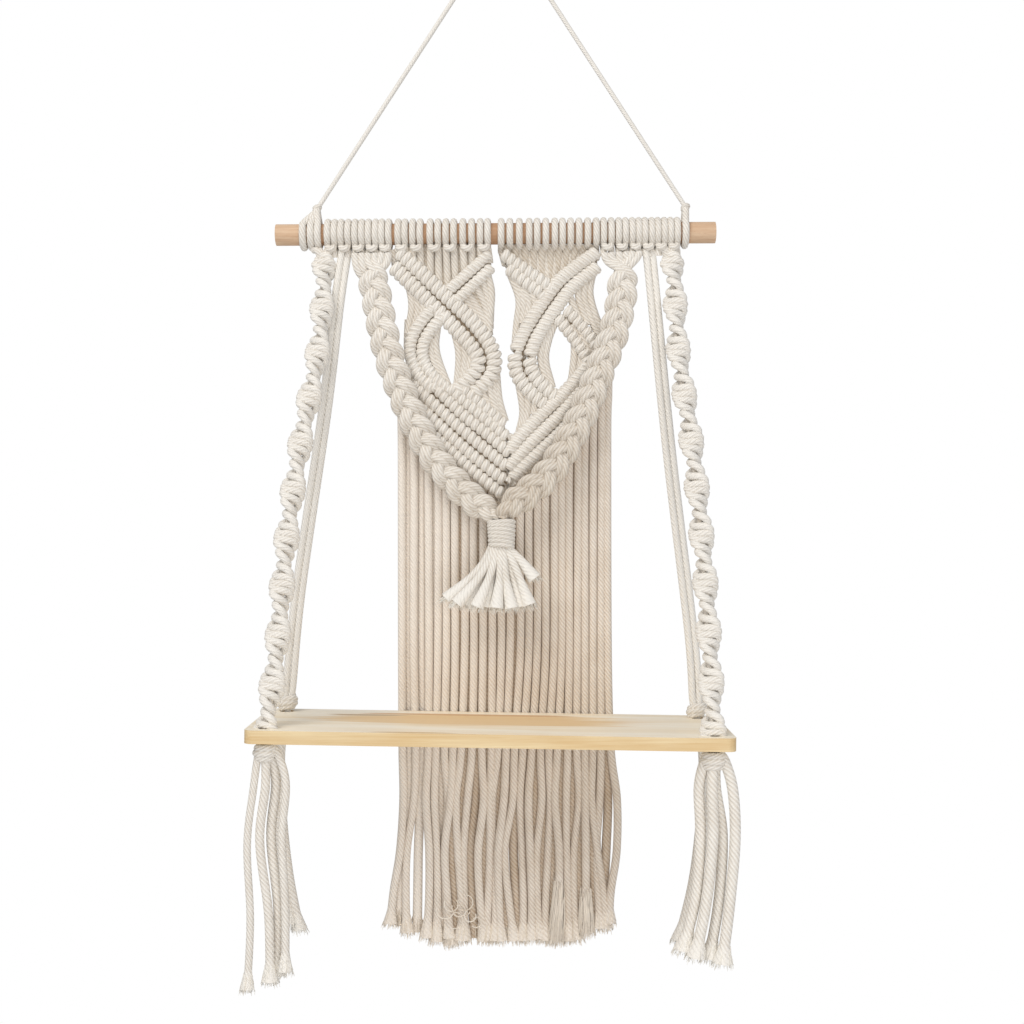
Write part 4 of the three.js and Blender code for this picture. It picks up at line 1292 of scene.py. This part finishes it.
# Hanger cord and its ties
HANGER_ROUTE = [
    (-164, 0, -243.8), (-140, 0, -206.8), (-116, 0, -169.9), (-92, 0, -132.9), (-68, 0, -96), (-44, 0, -59),
    (-20, 0, -22.1), (-6.7, 0, -1.6), (-3.8, 0, 1.04), (0, 0, 2), (3.8, 0, 1.04), (6.7, 0, -1.6),
    (20, 0, -22.1), (44, 0, -59), (68, 0, -96), (92, 0, -132.9), (116, 0, -169.9), (140, 0, -206.8),
    (163.5, 0, -243),
]
# wraps are the places of the turns round the dowel, that rise to the knot
TIE_RADIUS = DOWEL_RADIUS + 1.9
TIES = [
    {"piece": "hanger_tie_left", "wraps": [-177.2, -170.2, -164.0], "knot": (-165.6, -246.6), "size": 1.58},
    {"piece": "hanger_tie_right", "wraps": [163.4], "knot": (164.0, -245.6), "size": 1.58},
]


def tie_lines(tie):
    """Turns that rise off the dowel, front and back, into the knot under the cord."""
    knot_x, knot_z = tie["knot"]
    ropes = []
    for x in tie["wraps"]:
        z = dowel_z(x)
        lean = 0.35 * (knot_x - x)
        degrees = (135, 158, 180, 202, 225, 248, 270, 292, 315, 338, 360, 382, 405)
        angles = [math.radians(a) for a in degrees]
        turn = [(x, TIE_RADIUS * math.cos(a), z + TIE_RADIUS * math.sin(a)) for a in angles]
        front = [
            (knot_x, -0.8, knot_z), (knot_x - 0.35 * lean, -2.4, knot_z - 3.4), (x + lean, -5.2, z + 12.8),
        ]
        back = [(x + lean, 5.2, z + 12.8), (knot_x, 0.8, knot_z)]
        ropes.append(line(smooth_points([*front, *turn, *back], 1.2), tie["size"]))
    return [*ropes, *knot_lines((knot_x, 0, knot_z + 1.2), 2.6, 2.6, 3.6, 2, 0.5)]


# Pieces
def add_hanger():
    lines = [line([Vector(p) for p in HANGER_ROUTE], 1.0, -0.3)]
    ropes = make_ropes("hanger_rope", lines, diameter=CORD, lay=CORD_LAY, step=2.0)
    cord = add_piece("hanger_rope", [ropes], "hanger_cord")


def add_ties():
    for tie in TIES:
        name = tie["piece"] + "_rope"
        add_piece(name, [make_ropes(name, tie_lines(tie), diameter=CORD, step=1.4)], tie["piece"])


def add_panel():
    heads = [*head_lines("panel_left"), *head_lines("panel_right")]
    behind = [*panel_rope_lines(), *second_layer_lines(), *seam_lines(**BACK_SEAM)]
    # The holding ropes and the inner seams take the dark seam cotton: painted shade inside the coils and in
    # the seams
    shaded_within = [*holding_lines(), *seam_lines(**INNER_SHADE_SEAM)]
    rows = make_ropes("rows", panel_row_lines(), diameter=ROW_ROPE, lay=WRAP_LAY, step=1.9)
    ropes = make_ropes("ropes", [*heads, *behind])
    seams = make_ropes("seams", shaded_within, COTTON_SEAM_SHADE, diameter=SEAM_ROPE, step=2.5)
    add_piece("macrame_front", [rows, ropes, seams], "macrame_panel")


def add_plaits():
    lines = [*head_lines("plaits"), *plait_lines(PLAITS[0]), *plait_lines(PLAITS[1])]
    add_piece("plait_ropes", [make_ropes("plait_ropes", lines)], "plaits")


def add_tassel():
    ropes = make_ropes("tassel_ropes", [*wrap_lines(), *tassel_lines()], diameter=TASSEL_ROPE)
    fibres = []
    for i, route in enumerate(tassel_routes()):
        fibres.extend(brush_lines(route, TASSEL_BRUSH, 40 + i, TASSEL_FIBRES))
    add_piece("tassel_ropes", [ropes, make_brushes("tassel_brushes", fibres)], "tassel")


def add_curtain():
    lines = [*strip_lines(), *curtain_lines()]
    ropes = make_ropes("curtain_ropes", lines, COTTON_SHADED, lay=CURTAIN_LAY, step=2.6)
    second = make_ropes("second_layer", curtain_second_layer(), COTTON_SHADED, lay=CURTAIN_LAY, step=9)
    fibres = []
    for i, strand in enumerate(CURTAIN):
        end = LONG_END if strand["brush"] > LONG_BRUSH else SHORT_END
        fibres.extend(brush_lines(curtain_route(strand, i), strand["brush"] + END_COVER, seed=80 + i, **end))
    for i in range(len(CURTAIN) - 1):
        fibres.extend(brush_lines(second_layer_route(i), seed=140 + i, **SECOND_LAYER_END))
    brushes = make_brushes("curtain_brushes", [*fibres, *stray_curls()], COTTON_SHADED_BRUSHED)
    add_piece("curtain_ropes", [ropes, second, brushes], "curtain")


def add_side_ropes():
    for sinnet in SINNETS:
        name = sinnet["piece"]
        lines = [*head_lines(name), *core_lines(sinnet), *sinnet_lines(sinnet)]
        add_piece(name + "_rope", [make_ropes(name, lines)], name)
    for rope in REAR_ROPES:
        name = rope["piece"]
        lines = [*head_lines(name), *rear_lines(rope), *knot_lines(rope["knot"], **REAR_KNOT)]
        add_piece(name + "_strands", [make_ropes(name, lines)], name)


def add_tails():
    for number, tail in enumerate(TAILS):
        name = tail["piece"]
        fibres = []
        for i, (route, strand) in enumerate(zip(tail_routes(tail), tail["strands"])):
            seed = 200 + 9 * number + i
            fibres.extend(brush_lines(route, TAIL_BRUSH, seed, TAIL_FIBRES, strand["size"]))
        meshes = [make_ropes(name, tail_lines(tail)), make_brushes(name + "_brushes", fibres)]
        add_piece(name + "_ropes", meshes, name)


def dress_wood():
    """The dowel and the board keep their own shapes and take wood."""
    for node, material in (("dowel", beech_dowel()), ("shelf_board", pine_board())):
        piece = bpy.data.objects[node]
        for held in piece.material_slots:
            held.material = material


add_hanger()
add_ties()
add_panel()
add_plaits()
add_tassel()
add_curtain()
add_side_ropes()
add_tails()
dress_wood()


# Light, floor and what the camera sees behind, in metres
LIGHTS = [
    {"name": "key", "place": (-0.9, -1.4, 1.2), "aim": (0, 0, -0.55), "size": 1.8, "watts": 30,
     "colour": "#FFFBF5"},
    {"name": "fill", "place": (0.5, -1.7, -1.0), "aim": (0, 0, -0.8), "size": 2.0, "watts": 13,
     "colour": "#FBF8F4"},
]


def area_light(name, place, aim, size, watts, colour):
    data = bpy.data.lights.new(name, "AREA")
    data.shape = "DISK"
    data.size = size
    data.energy = watts
    data.color = linear(colour)[:3]
    light = bpy.data.objects.new(name, data)
    light.location = place
    light.rotation_euler = (Vector(aim) - Vector(place)).to_track_quat("-Z", "Y").to_euler()
    bpy.context.scene.collection.objects.link(light)


def add_world():
    """White behind the shelf, and a softer grey-white for the light that falls on it."""
    world = bpy.data.worlds.new("studio")
    world.use_nodes = True
    tree = world.node_tree
    tree.nodes.clear()
    path = add_node(tree, "ShaderNodeLightPath")
    seen = add_node(tree, "ShaderNodeBackground", values=[("Color", linear("#FFFFFF")), ("Strength", 1.0)])
    given = add_node(tree, "ShaderNodeBackground", values=[("Color", linear("#F8F9FC")), ("Strength", 0.48)])
    mixed = add_node(tree, "ShaderNodeMixShader", [(0, path.outputs["Is Camera Ray"]), (1, given), (2, seen)])
    add_node(tree, "ShaderNodeOutputWorld", [("Surface", mixed)])
    bpy.context.scene.world = world


FLOOR = {"radius": 2.2, "z": -1.9, "sides": 48}


def add_floor():
    """Matte pale floor, well under the tails."""
    material, tree = new_material("studio_floor")
    shader = add_node(
        tree, "ShaderNodeBsdfPrincipled", values=[("Base Color", linear("#F2F1EF")), ("Roughness", 0.9)]
    )
    finish_material(tree, shader)
    angles = [2 * math.pi * i / FLOOR["sides"] for i in range(FLOOR["sides"])]
    rim = [(FLOOR["radius"] * math.cos(a), FLOOR["radius"] * math.sin(a), FLOOR["z"]) for a in angles]
    mesh = bpy.data.meshes.new("floor")
    mesh.from_pydata(rim, [], [list(range(FLOOR["sides"]))])
    mesh.materials.append(material)
    floor = bpy.data.objects.new("floor", mesh)
    bpy.context.scene.collection.objects.link(floor)


for light in LIGHTS:
    area_light(**light)
add_world()
add_floor()
bpy.context.scene.view_settings.view_transform = "Standard"
